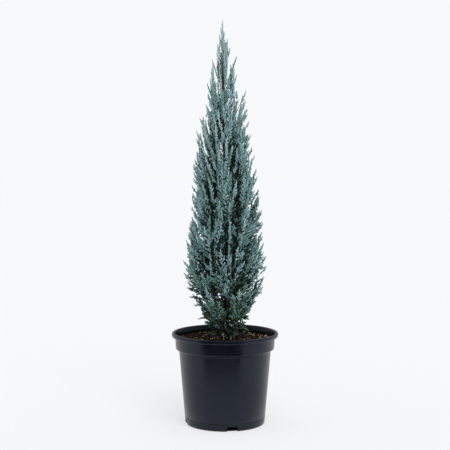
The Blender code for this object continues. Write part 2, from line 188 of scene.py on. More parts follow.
def circle(radius: float, steps: int) -> list[Pair]:
    """Gives the points of a circle about the axis, the first on the viewer's side."""
    turns = [math.tau * step / steps for step in range(steps)]
    return [(radius * math.sin(turn), -radius * math.cos(turn)) for turn in turns]


def add_node(
    tree: bpy.types.NodeTree,
    kind: str,
    values: dict | None = None,
    links: dict | None = None,
    **settings: object,
) -> bpy.types.Node:
    """Adds a node with its settings and links.

    Args:
        tree: the tree that it goes into.
        kind: the node's type.
        values: what its input sockets hold, by name or place.
        links: the output sockets that feed its inputs, by name or place.
        **settings: the node's own properties.

    Returns:
        The node.
    """
    node = tree.nodes.new(kind)
    for name, value in settings.items():
        setattr(node, name, value)
    for socket, value in (values or {}).items():
        node.inputs[socket].default_value = value
    for socket, source in (links or {}).items():
        tree.links.new(source, node.inputs[socket])
    return node


# Meshes.


def linked(name: str, mesh: bpy.types.Mesh) -> Piece:
    """Makes an object of a mesh and links it to the scene."""
    made = bpy.data.objects.new(name, mesh)
    bpy.context.scene.collection.objects.link(made)
    return made


def mesh_object(
    name: str,
    points: Iterable[Corner],
    faces: Iterable[Sequence[int]] = (),
    edges: Iterable[Sequence[int]] = (),
    outward: bool = False,
) -> Piece:
    """Makes a linked mesh object.

    Args:
        name: the object's name.
        points: the corners.
        faces: the faces, as places in points.
        edges: the loose edges, as places in points.
        outward: whether the faces' normals are set to point outwards.

    Returns:
        The object, at the origin.
    """
    mesh = bpy.data.meshes.new(name)
    mesh.from_pydata([tuple(p) for p in points], list(edges), list(faces))
    if outward:
        form = bmesh.new()
        form.from_mesh(mesh)
        bmesh.ops.recalc_face_normals(form, faces=form.faces)
        form.to_mesh(mesh)
        form.free()
    return linked(name, mesh)


def lathed(name: str, profile: Sequence[tuple[float, Height]], segments: int) -> Piece:
    """Turns a half section about Z into a closed solid.

    Args:
        name: the object's name.
        profile: (radius, height) from the axis round to the axis, where a height may depend on x and y.
        segments: the steps of the turn.

    Returns:
        The object, with the axis closed by single points.
    """
    points: list[Triple] = []
    rings: list[list[int]] = []
    for radius, height in profile:
        if radius < 1e-7:
            rings.append([len(points)] * segments)
            points.append((0.0, 0.0, height))
            continue
        rings.append([len(points) + step for step in range(segments)])
        points += [(x, y, height(x, y) if callable(height) else height) for x, y in circle(radius, segments)]
    faces = []
    for low, high in zip(rings, rings[1:]):
        for step in range(segments):
            after = (step + 1) % segments
            faces.append(tuple(dict.fromkeys((low[step], low[after], high[after], high[step]))))
    return mesh_object(name, points, faces, outward=True)


def stitched(rings: int, sides: int, start: int = 0) -> list[tuple[int, ...]]:
    """Gives the faces that join a row of rings.

    Args:
        rings: how many rings there are.
        sides: the corners of each.
        start: the place of the first corner.

    Returns:
        The faces, ring by ring, with both ends left open.
    """
    faces = []
    for ring in range(rings - 1):
        for side in range(sides):
            a, b = start + ring * sides + side, start + ring * sides + (side + 1) % sides
            faces.append((a, b, b + sides, a + sides))
    return faces


def tube_faces(rings: int, sides: int, start: int) -> list[tuple[int, ...]]:
    """Gives the faces of a row of rings, with both ends closed."""
    ends = [tuple(start + ring * sides + side for side in range(sides)) for ring in (0, rings - 1)]
    return stitched(rings, sides, start) + ends


def frame_of(tangent: Vector) -> tuple[Vector, Vector]:
    """Gives the level direction square to a line, and the one square to both."""
    level = tangent.cross(UP)
    if level.length < 1e-3:
        level = tangent.cross(outward(0.0))
    level.normalize()
    return level, level.cross(tangent).normalized()


def tube_points(path: Sequence[Vector], radii: Sequence[float], sides: int) -> list[Vector]:
    """Gives the rings of a tube.

    Args:
        path: its middle line.
        radii: its radius at each point of the path.
        sides: the corners of each ring.

    Returns:
        The rings' corners, one ring after the other.
    """
    points = []
    for index, (middle, radius) in enumerate(zip(path, radii)):
        tangent = (path[min(index + 1, len(path) - 1)] - path[max(index - 1, 0)]).normalized()
        level, across = frame_of(tangent)
        for side in range(sides):
            angle = math.tau * side / sides
            points.append(middle + radius * (math.cos(angle) * level + math.sin(angle) * across))
    return points


def smooth_by_angle(piece: Piece, degrees: float) -> None:
    """Shades a piece smooth, but for the edges sharper than an angle.

    Args:
        piece: the piece.
        degrees: the angle from which an edge stays crisp.
    """
    form = bmesh.new()
    form.from_mesh(piece.data)
    for edge in form.edges:
        edge.smooth = len(edge.link_faces) == 2 and edge.calc_face_angle(0.0) < math.radians(degrees)
    for face in form.faces:
        face.smooth = True
    form.to_mesh(piece.data)
    form.free()


def give(piece: Piece, name: str, kind: str, values: Sequence[float]) -> None:
    """Gives a mesh's points a named attribute.

    Args:
        piece: the piece.
        name: the attribute's name.
        kind: its type, such as "INT" or "FLOAT_VECTOR".
        values: its values, one after the other.
    """
    attribute = piece.data.attributes.new(name, kind, "POINT")
    attribute.data.foreach_set("vector" if kind == "FLOAT_VECTOR" else "value", values)


def hold(piece: Piece, slot: Slot, *nodes: str) -> Piece:
    """Gives a finished piece its body, and hides the CAD nodes that it stands for.

    Args:
        piece: the finished piece.
        slot: the record's slot of its finish, which is not used.
        *nodes: the CAD nodes that it replaces.

    Returns:
        The same piece.
    """
    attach(piece, BODY)
    if nodes:
        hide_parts(*nodes)
    piece.data.calc_loop_triangles()
    log.info("%s: %d triangles", piece.name, len(piece.data.loop_triangles))
    return piece


# Repeated shapes.


class ShapeStore:
    """A collection of shapes that are repeated, named so that they sort in their order."""

    def __init__(self, name: str, shapes: Sequence[Piece]) -> None:
        """Takes the shapes out of the scene.

        Args:
            name: the collection's name.
            shapes: the shapes.
        """
        self.collection = bpy.data.collections.new(name)
        for shape in shapes:
            bpy.context.scene.collection.objects.unlink(shape)
            self.collection.objects.link(shape)

    def clear(self) -> None:
        """Removes the collection with all that is in it."""
        for shape in list(self.collection.objects):
            bpy.data.objects.remove(shape)
        bpy.data.collections.remove(self.collection)


class Grower:
    """A Geometry Nodes tree with named inputs, which turns one object's mesh into its result."""

    def __init__(self, name: str, **inputs: float) -> None:
        """Starts the tree.

        Args:
            name: the tree's name.
            **inputs: the value of each named input, a whole number where it counts something.
        """
        self.tree = bpy.data.node_groups.new(name, "GeometryNodeTree")
        face = self.tree.interface
        face.new_socket("Geometry", in_out="INPUT", socket_type="NodeSocketGeometry")
        self.values = {}
        for label, value in inputs.items():
            kind = "NodeSocketInt" if isinstance(value, int) else "NodeSocketFloat"
            socket = face.new_socket(label, in_out="INPUT", socket_type=kind)
            self.values[socket.identifier] = value
        face.new_socket("Geometry", in_out="OUTPUT", socket_type="NodeSocketGeometry")
        self.inputs = self.add("NodeGroupInput").outputs

    def add(
        self, kind: str, values: dict | None = None, links: dict | None = None, **settings: object
    ) -> bpy.types.Node:
        """Adds a node to the tree, as add_node does."""
        return add_node(self.tree, kind, values, links, **settings)

    def named(self, attribute: str, kind: str) -> Socket:
        """Gives the output that reads a named attribute of that kind."""
        return self.add("GeometryNodeInputNamedAttribute", {"Name": attribute}, data_type=kind).outputs["Attribute"]

    def times(self, first: Socket, second: Socket) -> Socket:
        """Gives the product of two numbers or two vectors."""
        kind = "ShaderNodeMath" if first.type == "VALUE" else "ShaderNodeVectorMath"
        return self.add(kind, links={0: first, 1: second}, operation="MULTIPLY").outputs[0]

    def drawn(self, kind: str, place: int, low: Socket, high: Socket) -> Socket:
        """Adds a random value.

        Args:
            kind: its type.
            place: the place of its first input.
            low: the least value.
            high: the greatest value.

        Returns:
            The output that gives it.
        """
        links = {place: low, place + 1: high, "Seed": self.inputs["seed"]}
        return self.add("FunctionNodeRandomValue", links=links, data_type=kind).outputs[place // 2]

    def placed(self, points: Socket, store: ShapeStore, pick: str, rotation: Socket, scale: Socket) -> Socket:
        """Puts repeated shapes on points.

        Args:
            points: the points.
            store: the shapes.
            pick: the whole-number attribute that picks one of them.
            rotation: how each is turned.
            scale: how large each is.

        Returns:
            The output with the shapes.
        """
        choice = {"Collection": store.collection, "Separate Children": True, "Reset Children": True}
        links = {
            "Points": points,
            "Instance": self.add("GeometryNodeCollectionInfo", choice).outputs[0],
            "Instance Index": self.named(pick, "INT"),
            "Rotation": rotation,
            "Scale": scale,
        }
        return self.add("GeometryNodeInstanceOnPoints", {"Pick Instance": True}, links).outputs[0]

    def finish(self, geometry: Socket, materials: Sequence[Material], chooser: str) -> None:
        """Ends the tree: instances are realized, then each face gets its material.

        Args:
            geometry: the output with the geometry.
            materials: the materials.
            chooser: the whole-number attribute that picks one of them.
        """
        geometry = self.add("GeometryNodeRealizeInstances", links={0: geometry}).outputs[0]
        for place, material in enumerate(materials):
            choice = {2: self.named(chooser, "INT")}
            same = self.add("FunctionNodeCompare", {3: place}, choice, data_type="INT", operation="EQUAL")
            links = {"Geometry": geometry, "Selection": same.outputs[0]}
            geometry = self.add("GeometryNodeSetMaterial", {"Material": material}, links).outputs[0]
        self.add("NodeGroupOutput", links={0: geometry})

    def grown(self, base: Piece, name: str) -> Piece:
        """Runs the tree on an object and keeps the result as a plain mesh.

        Args:
            base: the object whose mesh feeds the tree. It is removed.
            name: the name of the result.

        Returns:
            The plain mesh object.
        """
        modifier = base.modifiers.new(self.tree.name, "NODES")
        modifier.node_group = self.tree
        for identifier, value in self.values.items():
            modifier[identifier] = value
        graph = bpy.context.evaluated_depsgraph_get()
        mesh = bpy.data.meshes.new_from_object(base.evaluated_get(graph))
        base.modifiers.clear()
        bpy.data.objects.remove(base)
        used = ("tint", "form", "turn", "size", "girth", "wood", "kind")
        for extra in [a.name for a in mesh.attributes if a.name in used]:
            mesh.attributes.remove(mesh.attributes[extra])
        mesh.name = name
        return linked(name, mesh)


# Finishes.


class Surface:
    """A material in the making: plain values on its shader's own sockets, and patterns in Object coordinates."""

    def __init__(self, name: str, colour: str, roughness: float, specular: float) -> None:
        """Starts the material.

        Args:
            name: the material's name.
            colour: its base colour as hex.
            roughness: its roughness.
            specular: its specular level, which is 0.5 for an IOR of 1.5.
        """
        self.material = bpy.data.materials.new(name)
        self.material.use_nodes = True
        self.tree = self.material.node_tree
        self.shader = self.tree.nodes["Principled BSDF"]
        self.set({"Base Color": linear(colour), "Roughness": roughness, "Specular IOR Level": specular})

    def set(self, values: dict[str, object]) -> None:
        """Sets plain values on the shader's sockets, by their names."""
        for name, value in values.items():
            self.shader.inputs[name].default_value = value

    def noise(self, scale: float | Triple, detail: float, roughness: float = 0.5) -> Socket:
        """Adds a noise.

        Args:
            scale: how many of its waves a metre has, or how many along each axis.
            detail: its detail.
            roughness: its roughness.

        Returns:
            The output that gives it.
        """
        place = add_node(self.tree, "ShaderNodeTexCoord").outputs["Object"]
        if isinstance(scale, tuple):
            place = add_node(self.tree, "ShaderNodeMapping", {"Scale": scale}, {"Vector": place}).outputs[0]
            scale = 1.0
        values = {"Scale": scale, "Detail": detail, "Roughness": roughness}
        return add_node(self.tree, "ShaderNodeTexNoise", values, {"Vector": place}).outputs["Fac"]

    def tone(self, pattern: Socket, stops: Stops) -> None:
        """Lets a pattern set the base colour.

        Args:
            pattern: the pattern.
            stops: the place and the hex colour of each stop between which it goes.
        """
        ramp = add_node(self.tree, "ShaderNodeValToRGB", links={"Fac": pattern})
        elements = ramp.color_ramp.elements
        while len(elements) < len(stops):
            elements.new(0.5)
        for element, (place, colour) in zip(elements, stops):
            element.position = place
            element.color = linear(colour)
        self.tree.links.new(ramp.outputs["Color"], self.shader.inputs["Base Color"])

    def gloss(self, pattern: Socket, low: float, high: float) -> None:
        """Lets a pattern vary the roughness from low to high."""
        span = {"From Min": 0.3, "From Max": 0.75, "To Min": low, "To Max": high}
        spread = add_node(self.tree, "ShaderNodeMapRange", span, {"Value": pattern})
        self.tree.links.new(spread.outputs["Result"], self.shader.inputs["Roughness"])

    def relief(self, pattern: Socket, strength: float, depth: float) -> None:
        """Lets a pattern raise the surface, by a depth in metres at full strength."""
        bump = add_node(self.tree, "ShaderNodeBump", {"Strength": strength, "Distance": depth}, {"Height": pattern})
        self.tree.links.new(bump.outputs["Normal"], self.shader.inputs["Normal"])


@dataclass(frozen=True)
class MouldedPolypropylene:
    """Black polypropylene, injection moulded: a soft satin that goes pale only where it is seen edge on."""

    name: str = "moulded_black_polypropylene"
    colour: str = "#080B12"
    scuffed: str = "#0E121B"
    roughness: float = 0.28
    specular: float = 0.42
    sheen_tint: str = "#D6E2FA"
    clouds: float = 26.0
    grain: float = 0.35 * MM

    def material(self) -> Material:
        """Makes the material: cloudy handling marks, and the mould's fine grain, drawn coarse enough to show."""
        made = Surface(self.name, self.colour, self.roughness, self.specular)
        made.set({"Specular Tint": linear(self.sheen_tint)})
        clouds = made.noise(self.clouds, 5.0, 0.62)
        made.tone(clouds, ((0.35, self.colour), (0.78, self.scuffed)))
        made.gloss(clouds, self.roughness - 0.05, self.roughness + 0.07)
        made.relief(made.noise(1 / (3 * self.grain), 2.0), 0.18, 0.3 * MM)
        return made.material


@dataclass(frozen=True)
class PeatMix:
    """Damp peat and composted bark, sieved: near black, with rusty and tan flecks, and no shine."""

    name: str = "damp_peat_mix"
    stops: Stops = ((0.32, "#080605"), (0.50, "#15100C"), (0.62, "#33261B"), (0.74, "#5A4636"), (0.84, "#80664A"))
    crumb: float = 2.2 * MM

    def material(self) -> Material:
        """Makes the material: flecks of the crumbs' own size."""
        made = Surface(self.name, self.stops[1][1], 0.92, 0.25)
        flecks = made.noise(1 / (2 * self.crumb), 4.0, 0.7)
        made.tone(flecks, self.stops)
        made.relief(flecks, 0.6, 1.0 * MM)
        return made.material


@dataclass(frozen=True)
class StringyBark:
    """Juniper bark, which peels in long thin strips: dark brown, with dull tan edges and black furrows."""

    name: str = "peeling_juniper_bark"
    stops: Stops = ((0.30, "#0B0906"), (0.47, "#1F1811"), (0.60, "#3B2E20"), (0.76, "#6E5A40"))
    strip: float = 0.9 * MM
    strip_length: float = 14 * MM

    def material(self) -> Material:
        """Makes the material: noise that is drawn out along the stem, for strips a millimetre wide."""
        made = Surface(self.name, self.stops[2][1], 0.85, 0.2)
        across, along = 1 / (2 * self.strip), 1 / (2 * self.strip_length)
        strips = made.noise((across, across, along), 4.0, 0.6)
        made.tone(strips, self.stops)
        made.relief(strips, 0.8, 0.6 * MM)
        return made.material


@dataclass(frozen=True)
class LooseBit:
    """A loose bit of the mix, such as a clod, a bark chip or a wood fibre: one plain matt colour each."""

    name: str
    colour: str
    roughness: float = 0.9
    specular: float = 0.25

    def material(self) -> Material:
        """Makes the material, plain as the export needs it on a shape that is repeated."""
        return Surface(self.name, self.colour, self.roughness, self.specular).material


@dataclass(frozen=True)
class TwigBark(LooseBit):
    """The thin bark of young twigs: smooth and plain, as it is too slim for a pattern to show."""

    roughness: float = 0.75


@dataclass(frozen=True)
class ScaleLeaf:
    """Scale leaves under their waxy bloom: matt, with a soft pale edge where the wax is seen edge on."""

    name: str
    colour: str
    roughness: float = 0.58
    bloom: float = 0.12

    def material(self) -> Material:
        """Makes the material, one plain colour, as colours are dealt out by spray."""
        made = Surface(self.name, self.colour, self.roughness, 0.3)
        made.set({"Sheen Weight": self.bloom, "Sheen Roughness": 0.5})
        return made.material


# The inside's finish is darker and matter than the outside: partly a peat stain, partly painted shade of the pot's
# inside.
PEAT_STAINED_AND_SHADED = MouldedPolypropylene("peat_stained_polypropylene", "#050608", "#0D0B09", 0.62, 0.12)
# The shaded leaves' dark colour is painted shade; the green leaves' is partly the older growth's own colour and partly
# painted shade.
LEAF_FINISHES: dict[Tint, ScaleLeaf] = {
    Tint.BLOOM: ScaleLeaf("scale_leaves_pale_bloom", "#AECBCB"),
    Tint.BLUE: ScaleLeaf("scale_leaves_blue", "#8FB4B5"),
    Tint.TEAL: ScaleLeaf("scale_leaves_teal", "#6C9796"),
    Tint.SHADE: ScaleLeaf("scale_leaves_shaded", "#1B3530"),
    Tint.GREEN: ScaleLeaf("scale_leaves_green", "#3A5735"),
    Tint.MOSS: ScaleLeaf("scale_leaves_moss", "#5D866F"),
}
TWIG_FINISHES: dict[Wood, TwigBark] = {
    Wood.OLD: TwigBark("woody_twig_bark", "#3A2A1C"),
    Wood.YOUNG: TwigBark("young_twig_bark", "#454930"),
    Wood.DEAD: TwigBark("dead_twig_wood", "#C2A98A"),
}


def paint(piece: Piece, finishes: Sequence[PeatMix | StringyBark | LooseBit | MouldedPolypropylene]) -> None:
    """Gives a piece the materials of its finishes."""
    for finish in finishes:
        piece.data.materials.append(finish.material())


# The pot.


@dataclass
class NurseryPot:
    """The thin moulded tub, with a rolled bead, a stepped collar, a ring near its foot and four drain slots."""

    height: float = 0.1637
    foot_radius: float = 0.0712
    foot_fillet: float = 0.0040
    body_top: Pair = (0.0820, 0.1310)
    collar_foot: Pair = (0.0880, 0.1358)
    collar_top_radius: float = 0.0889
    bead_radius: float = 0.0950
    bead_height: float = 0.0076
    bead_inner_radius: float = 0.0893
    bead_round: float = 0.0024
    wall: float = 0.0015
    floor: float = 0.0022
    ring_height: float = 0.0140
    ring_depth: float = 0.0004
    slots: int = 4
    slot_width: float = 0.0190
    slot_height: float = 0.0088
    slot_depth: float = 0.0085
    slot_corner: float = 0.0030
    slot_turn: float = 10.6
    segments: int = 144
    round_steps: int = 7

    def arc(self, centre: Pair, radius: float, start: float, end: float) -> list[Pair]:
        """Gives the points of a round corner.

        Args:
            centre: its centre, as (radius, height).
            radius: its own radius.
            start: the first angle in degrees.
            end: the last angle in degrees.

        Returns:
            The points.
        """
        count = self.round_steps
        steps = [math.radians(start + (end - start) * i / count) for i in range(count + 1)]
        return [(centre[0] + radius * math.cos(a), centre[1] + radius * math.sin(a)) for a in steps]

    def outer_radius(self, height: float) -> float:
        """Gives the body's outer radius at a height under the collar."""
        share = (height - self.foot_fillet) / (self.body_top[1] - self.foot_fillet)
        return self.foot_radius + (self.body_top[0] - self.foot_radius) * share

    def profile(self) -> list[Pair]:
        """Gives the half section, from the middle of the underside round the bead to the middle of the floor."""
        fillet, bead = self.foot_fillet, self.bead_round
        low = self.height - self.bead_height
        line = [(0.0, 0.0), (0.3 * self.foot_radius, 0.0)]
        line += self.arc((self.foot_radius - fillet, fillet), fillet, -90, 0)
        for offset, depth in ((-0.0011, 0.0), (-0.0005, 1.0), (0.0005, 1.0), (0.0011, 0.0)):
            height = self.ring_height + offset
            line.append((self.outer_radius(height) - depth * self.ring_depth, height))
        line += [(self.outer_radius(h), h) for h in (0.040, 0.070, 0.100, 0.126)]
        line += self.arc((self.body_top[0] + 0.0012, self.body_top[1] - 0.0002), 0.0012, 180, 110)
        line += self.arc((self.collar_foot[0] - 0.0016, self.collar_foot[1] + 0.0008), 0.0016, -60, 0)
        line += [(self.collar_foot[0] + 0.0005, 0.1450), (self.collar_top_radius, low - 0.0004)]
        line += self.arc((self.bead_radius - bead, low + bead), bead, -90, 0)
        line += self.arc((self.bead_radius - bead, self.height - bead), bead, 0, 90)
        line += self.arc((self.bead_inner_radius + bead, self.height - bead), bead, 90, 180)
        line += self.inner_wall()
        return line

    def inner_wall(self, clearance: float = 0.0) -> list[Pair]:
        """Gives the inside from the collar down to the middle of the floor.

        Args:
            clearance: how far it is drawn in.

        Returns:
            The points, as (radius, height).
        """
        inset = self.wall + clearance
        low = self.height - self.bead_height
        foot, floor = self.foot_radius - inset, self.floor + clearance
        round_in = self.foot_fillet - self.wall
        return [
            (self.collar_top_radius - inset, low),
            (self.collar_foot[0] - inset, self.collar_foot[1] + 0.4 * self.wall),
            (self.body_top[0] - inset, self.body_top[1] + 0.4 * self.wall),
            (foot, floor + round_in),
            (foot - round_in, floor),
            (0.3 * foot, floor),
            (0.0, floor),
        ]

    def slot_cutter(self, index: int) -> Piece:
        """Makes the cutter of one drain slot: upright sides and a rounded top.

        Args:
            index: the slot's place round the foot.

        Returns:
            The cutter.
        """
        half, corner, clear = self.slot_width / 2, self.slot_corner, 0.002
        outline = [(-half, -clear)]
        for side, start in ((-1, math.pi), (1, math.pi / 2)):
            across, up = side * (half - corner), self.slot_height - corner
            angles = [start - math.pi / 2 * step / 6 for step in range(7)]
            outline += [(across + corner * math.cos(angle), up + corner * math.sin(angle)) for angle in angles]
        outline.append((half, -clear))
        near, far = self.foot_radius - self.slot_depth, self.foot_radius + 0.006
        points = [(x, -radius, z) for radius in (near, far) for x, z in outline]
        count = len(outline)
        faces = [tuple(range(count)), tuple(range(2 * count - 1, count - 1, -1))]
        faces += [(k, (k + 1) % count, (k + 1) % count + count, k + count) for k in range(count)]
        cutter = mesh_object(f"slot_cutter_{index + 1}", points, faces, outward=True)
        turn = math.radians(self.slot_turn + index * 360 / self.slots)
        cutter.data.transform(Matrix.Rotation(turn, 4, "Z"))
        return cutter

    def build(self) -> Piece:
        """Builds the pot with its drain slots cut, and dresses it."""
        pot = lathed("nursery_pot", self.profile(), self.segments)
        cutters = [self.slot_cutter(index) for index in range(self.slots)]
        for cutter in cutters:
            cut = pot.modifiers.new(cutter.name, "BOOLEAN")
            cut.operation = "DIFFERENCE"
            cut.solver = "EXACT"
            cut.object = cutter
        graph = bpy.context.evaluated_depsgraph_get()
        mesh = bpy.data.meshes.new_from_object(pot.evaluated_get(graph))
        pot.modifiers.clear()
        pot.data = mesh
        for cutter in cutters:
            bpy.data.objects.remove(cutter)
        pot.data.materials.clear()
        paint(pot, (MouldedPolypropylene(), PEAT_STAINED_AND_SHADED))
        below_bead = self.height - self.bead_height
        # Inward faces below the bead take the inside's finish, with its painted shade.
        for face in pot.data.polygons:
            out = Vector((face.center.x, face.center.y, 0.0)).normalized()
            face.material_index = int(face.normal.dot(out) < -0.3 and face.center.z < below_bead)
        smooth_by_angle(pot, 34)
        return hold(pot, Slot.PLASTIC, "pot")


# The potting mix.


@dataclass(frozen=True)
class LooseBits:
    """One kind of loose bit: its shapes, how rough they are, and how they are spread over the mix."""

    name: str
    bit: str
    shapes: tuple[tuple[Triple, LooseBit], ...]
    rough: float
    spacing: float
    density: float
    sizes: Pair
    tilt: float
    lift: float
    seed: int


LOOSE_BITS = (
    LooseBits(
        "mix_crumbs",
        "crumb",
        (
            ((1.0, 0.8, 0.7), LooseBit("peat_crumb_black", "#0A0807")),
            ((0.8, 1.0, 0.6), LooseBit("peat_crumb_brown", "#1C140E")),
            ((1.1, 0.7, 0.8), LooseBit("peat_crumb_rusty", "#332316")),
            ((0.9, 0.9, 0.7), LooseBit("peat_crumb_dark", "#110D0A")),
        ),
        rough=0.28,
        spacing=0.0013,
        density=420000.0,
        sizes=(0.0008, 0.0024),
        tilt=3.1,
        lift=0.0004,
        seed=3,
    ),
    LooseBits(
        "bark_chips",
        "chip",
        (
            ((1.3, 0.6, 0.32), LooseBit("pine_bark_tan", "#8B6E4E")),
            ((1.0, 0.7, 0.28), LooseBit("pine_bark_brown", "#4A3323")),
            ((1.5, 0.45, 0.3), LooseBit("pine_bark_pale", "#B89B78")),
        ),
        rough=0.22,
        spacing=0.0048,
        density=8500.0,
        sizes=(0.0010, 0.0036),
        tilt=0.6,
        lift=0.0016,
        seed=5,
    ),
    LooseBits(
        "wood_fibres",
        "fibre",
        (
            ((1.0, 0.05, 0.04), LooseBit("wood_fibre_tan", "#8A6A45")),
            ((0.7, 0.07, 0.05), LooseBit("wood_fibre_brown", "#3F2C1C")),
        ),
        rough=0.15,
        spacing=0.0060,
        density=6000.0,
        sizes=(0.0030, 0.0070),
        tilt=0.30,
        lift=0.0018,
        seed=8,
    ),
)


@dataclass
class PottingMix:
    """The mix that fills the pot, its crumbs and clods, and the chips and fibres that lie on it."""

    pot: NurseryPot
    level: float = 0.1500
    seat_radius: float = 0.0070
    relief: float = 0.0022
    rings: int = 46
    segments: int = 150
    bed_rings: int = 14
    bed_segments: int = 60
    bed_margin: float = 0.0022
    clearance: float = 0.0003
    seed: int = 11

    def __post_init__(self) -> None:
        """Starts the random numbers of the loose bits' shapes."""
        self.rng = random.Random(self.seed)

    def rim(self) -> float:
        """Gives the radius of the mix where it meets the pot's wall."""
        (top_radius, top), (low_radius, low) = self.pot.inner_wall(self.clearance)[:2]
        return low_radius + (top_radius - low_radius) * (self.level - low) / (top - low)

    def height(self, x: float, y: float) -> float:
        """Gives the surface's height at a place: lumps of a few millimetres over broad hollows."""
        radius = math.hypot(x, y)
        broad = noise.noise(Vector((x * 38, y * 38, 1.7)))
        lumps = noise.noise(Vector((x * 150, y * 150, 4.1))) + 0.5 * noise.noise(Vector((x * 420, y * 420, 8.3)))
        ease = clamp((radius - self.seat_radius) / 0.012)
        edge = min(1.0, (self.rim() - radius) / 0.003)
        lift = self.relief * (0.55 * broad + 0.55 * lumps) * ease
        return self.level + lift * max(0.25, edge) + 0.0004 * ease

    def surface(self) -> Piece:
        """Builds the mix as one closed solid with a crumbly top."""
        rim = self.rim()
        profile: list[tuple[float, Height]] = [(0.0, self.level)]
        profile += [(rim * ring / self.rings, self.height) for ring in range(1, self.rings + 1)]
        profile += self.pot.inner_wall(self.clearance)[1:]
        mix = lathed("mix_surface", profile, self.segments)
        # Its faces more than a centimetre below the top are a near-black plain colour: painted shade within the pot.
        paint(mix, (PeatMix(), LooseBit("damp_mix_below", "#080605", 1.0, 0.0)))
        for face in mix.data.polygons:
            face.material_index = int(face.center.z < self.level - 0.010)
        mix.data.shade_smooth()
        return hold(mix, Slot.MIX, "potting_mix")

    def bit(self, name: str, size: Triple, rough: float) -> Piece:
        """Makes one loose bit of a unit size: a lump with a few faces.

        Args:
            name: its name.
            size: its half length each way, as shares.
            rough: how uneven it is.

        Returns:
            The bit.
        """
        form = bmesh.new()
        bmesh.ops.create_icosphere(form, subdivisions=1, radius=1.0)
        for vertex in form.verts:
            vertex.co *= 1 + self.rng.uniform(-rough, rough)
            vertex.co = Vector([c * s for c, s in zip(vertex.co, size)])
        mesh = bpy.data.meshes.new(name)
        form.to_mesh(mesh)
        form.free()
        return linked(name, mesh)

    def bed(self, name: str, lift: float) -> Piece:
        """Makes the open patch of surface on which loose bits are scattered.

        Args:
            name: its name.
            lift: how far it lies above the mix.

        Returns:
            The patch.
        """
        inner, outer = self.seat_radius, self.rim() - self.bed_margin
        points = []
        for ring in range(self.bed_rings + 1):
            spots = circle(inner + (outer - inner) * ring / self.bed_rings, self.bed_segments)
            points += [(x, y, self.height(x, y) + lift) for x, y in spots]
        return mesh_object(name, points, stitched(self.bed_rings + 1, self.bed_segments))

    def scatter(self, bits: LooseBits) -> Piece:
        """Scatters loose bits of one kind over the mix.

        Args:
            bits: their shapes and finishes, and how they are spread.

        Returns:
            The piece.
        """
        shapes = [self.bit(f"{bits.bit}_{place}", size, bits.rough) for place, (size, _) in enumerate(bits.shapes)]
        store = ShapeStore(f"{bits.name}_shapes", shapes)
        least, greatest = bits.sizes
        grower = Grower(
            f"{bits.name}_scatter",
            spacing=bits.spacing,
            density=bits.density,
            least=least,
            greatest=greatest,
            tilt=bits.tilt,
            first=0,
            last=len(shapes) - 1,
            seed=bits.seed,
        )
        given = grower.inputs
        spots = grower.add(
            "GeometryNodeDistributePointsOnFaces",
            links={
                "Mesh": given["Geometry"],
                "Distance Min": given["spacing"],
                "Density Max": given["density"],
                "Seed": given["seed"],
            },
            distribute_method="POISSON",
        )
        back = grower.add("ShaderNodeMath", {1: -1.0}, {0: given["tilt"]}, operation="MULTIPLY").outputs[0]
        low = grower.add("ShaderNodeCombineXYZ", {"Z": 0.0}, {"X": back, "Y": back})
        high = grower.add("ShaderNodeCombineXYZ", {"Z": math.tau}, {"X": given["tilt"], "Y": given["tilt"]})
        lean = grower.drawn("FLOAT_VECTOR", 0, low.outputs[0], high.outputs[0])
        size = grower.drawn("FLOAT", 2, given["least"], given["greatest"])
        kinds = grower.add(
            "GeometryNodeStoreNamedAttribute",
            {"Name": "kind"},
            {"Geometry": spots.outputs["Points"], "Value": grower.drawn("INT", 4, given["first"], given["last"])},
            data_type="INT",
            domain="POINT",
        )
        put = grower.placed(kinds.outputs[0], store, "kind", lean, size)
        grower.finish(put, [finish.material() for _, finish in bits.shapes], "kind")
        piece = grower.grown(self.bed(f"{bits.name}_bed", bits.lift), bits.name)
        store.clear()
        return hold(piece, Slot.MIX)

    def build(self) -> None:
        """Builds the surface, the crumbs, the chips and the fibres."""
        self.surface()
        for bits in LOOSE_BITS:
            self.scatter(bits)


# The trunk and its boughs.


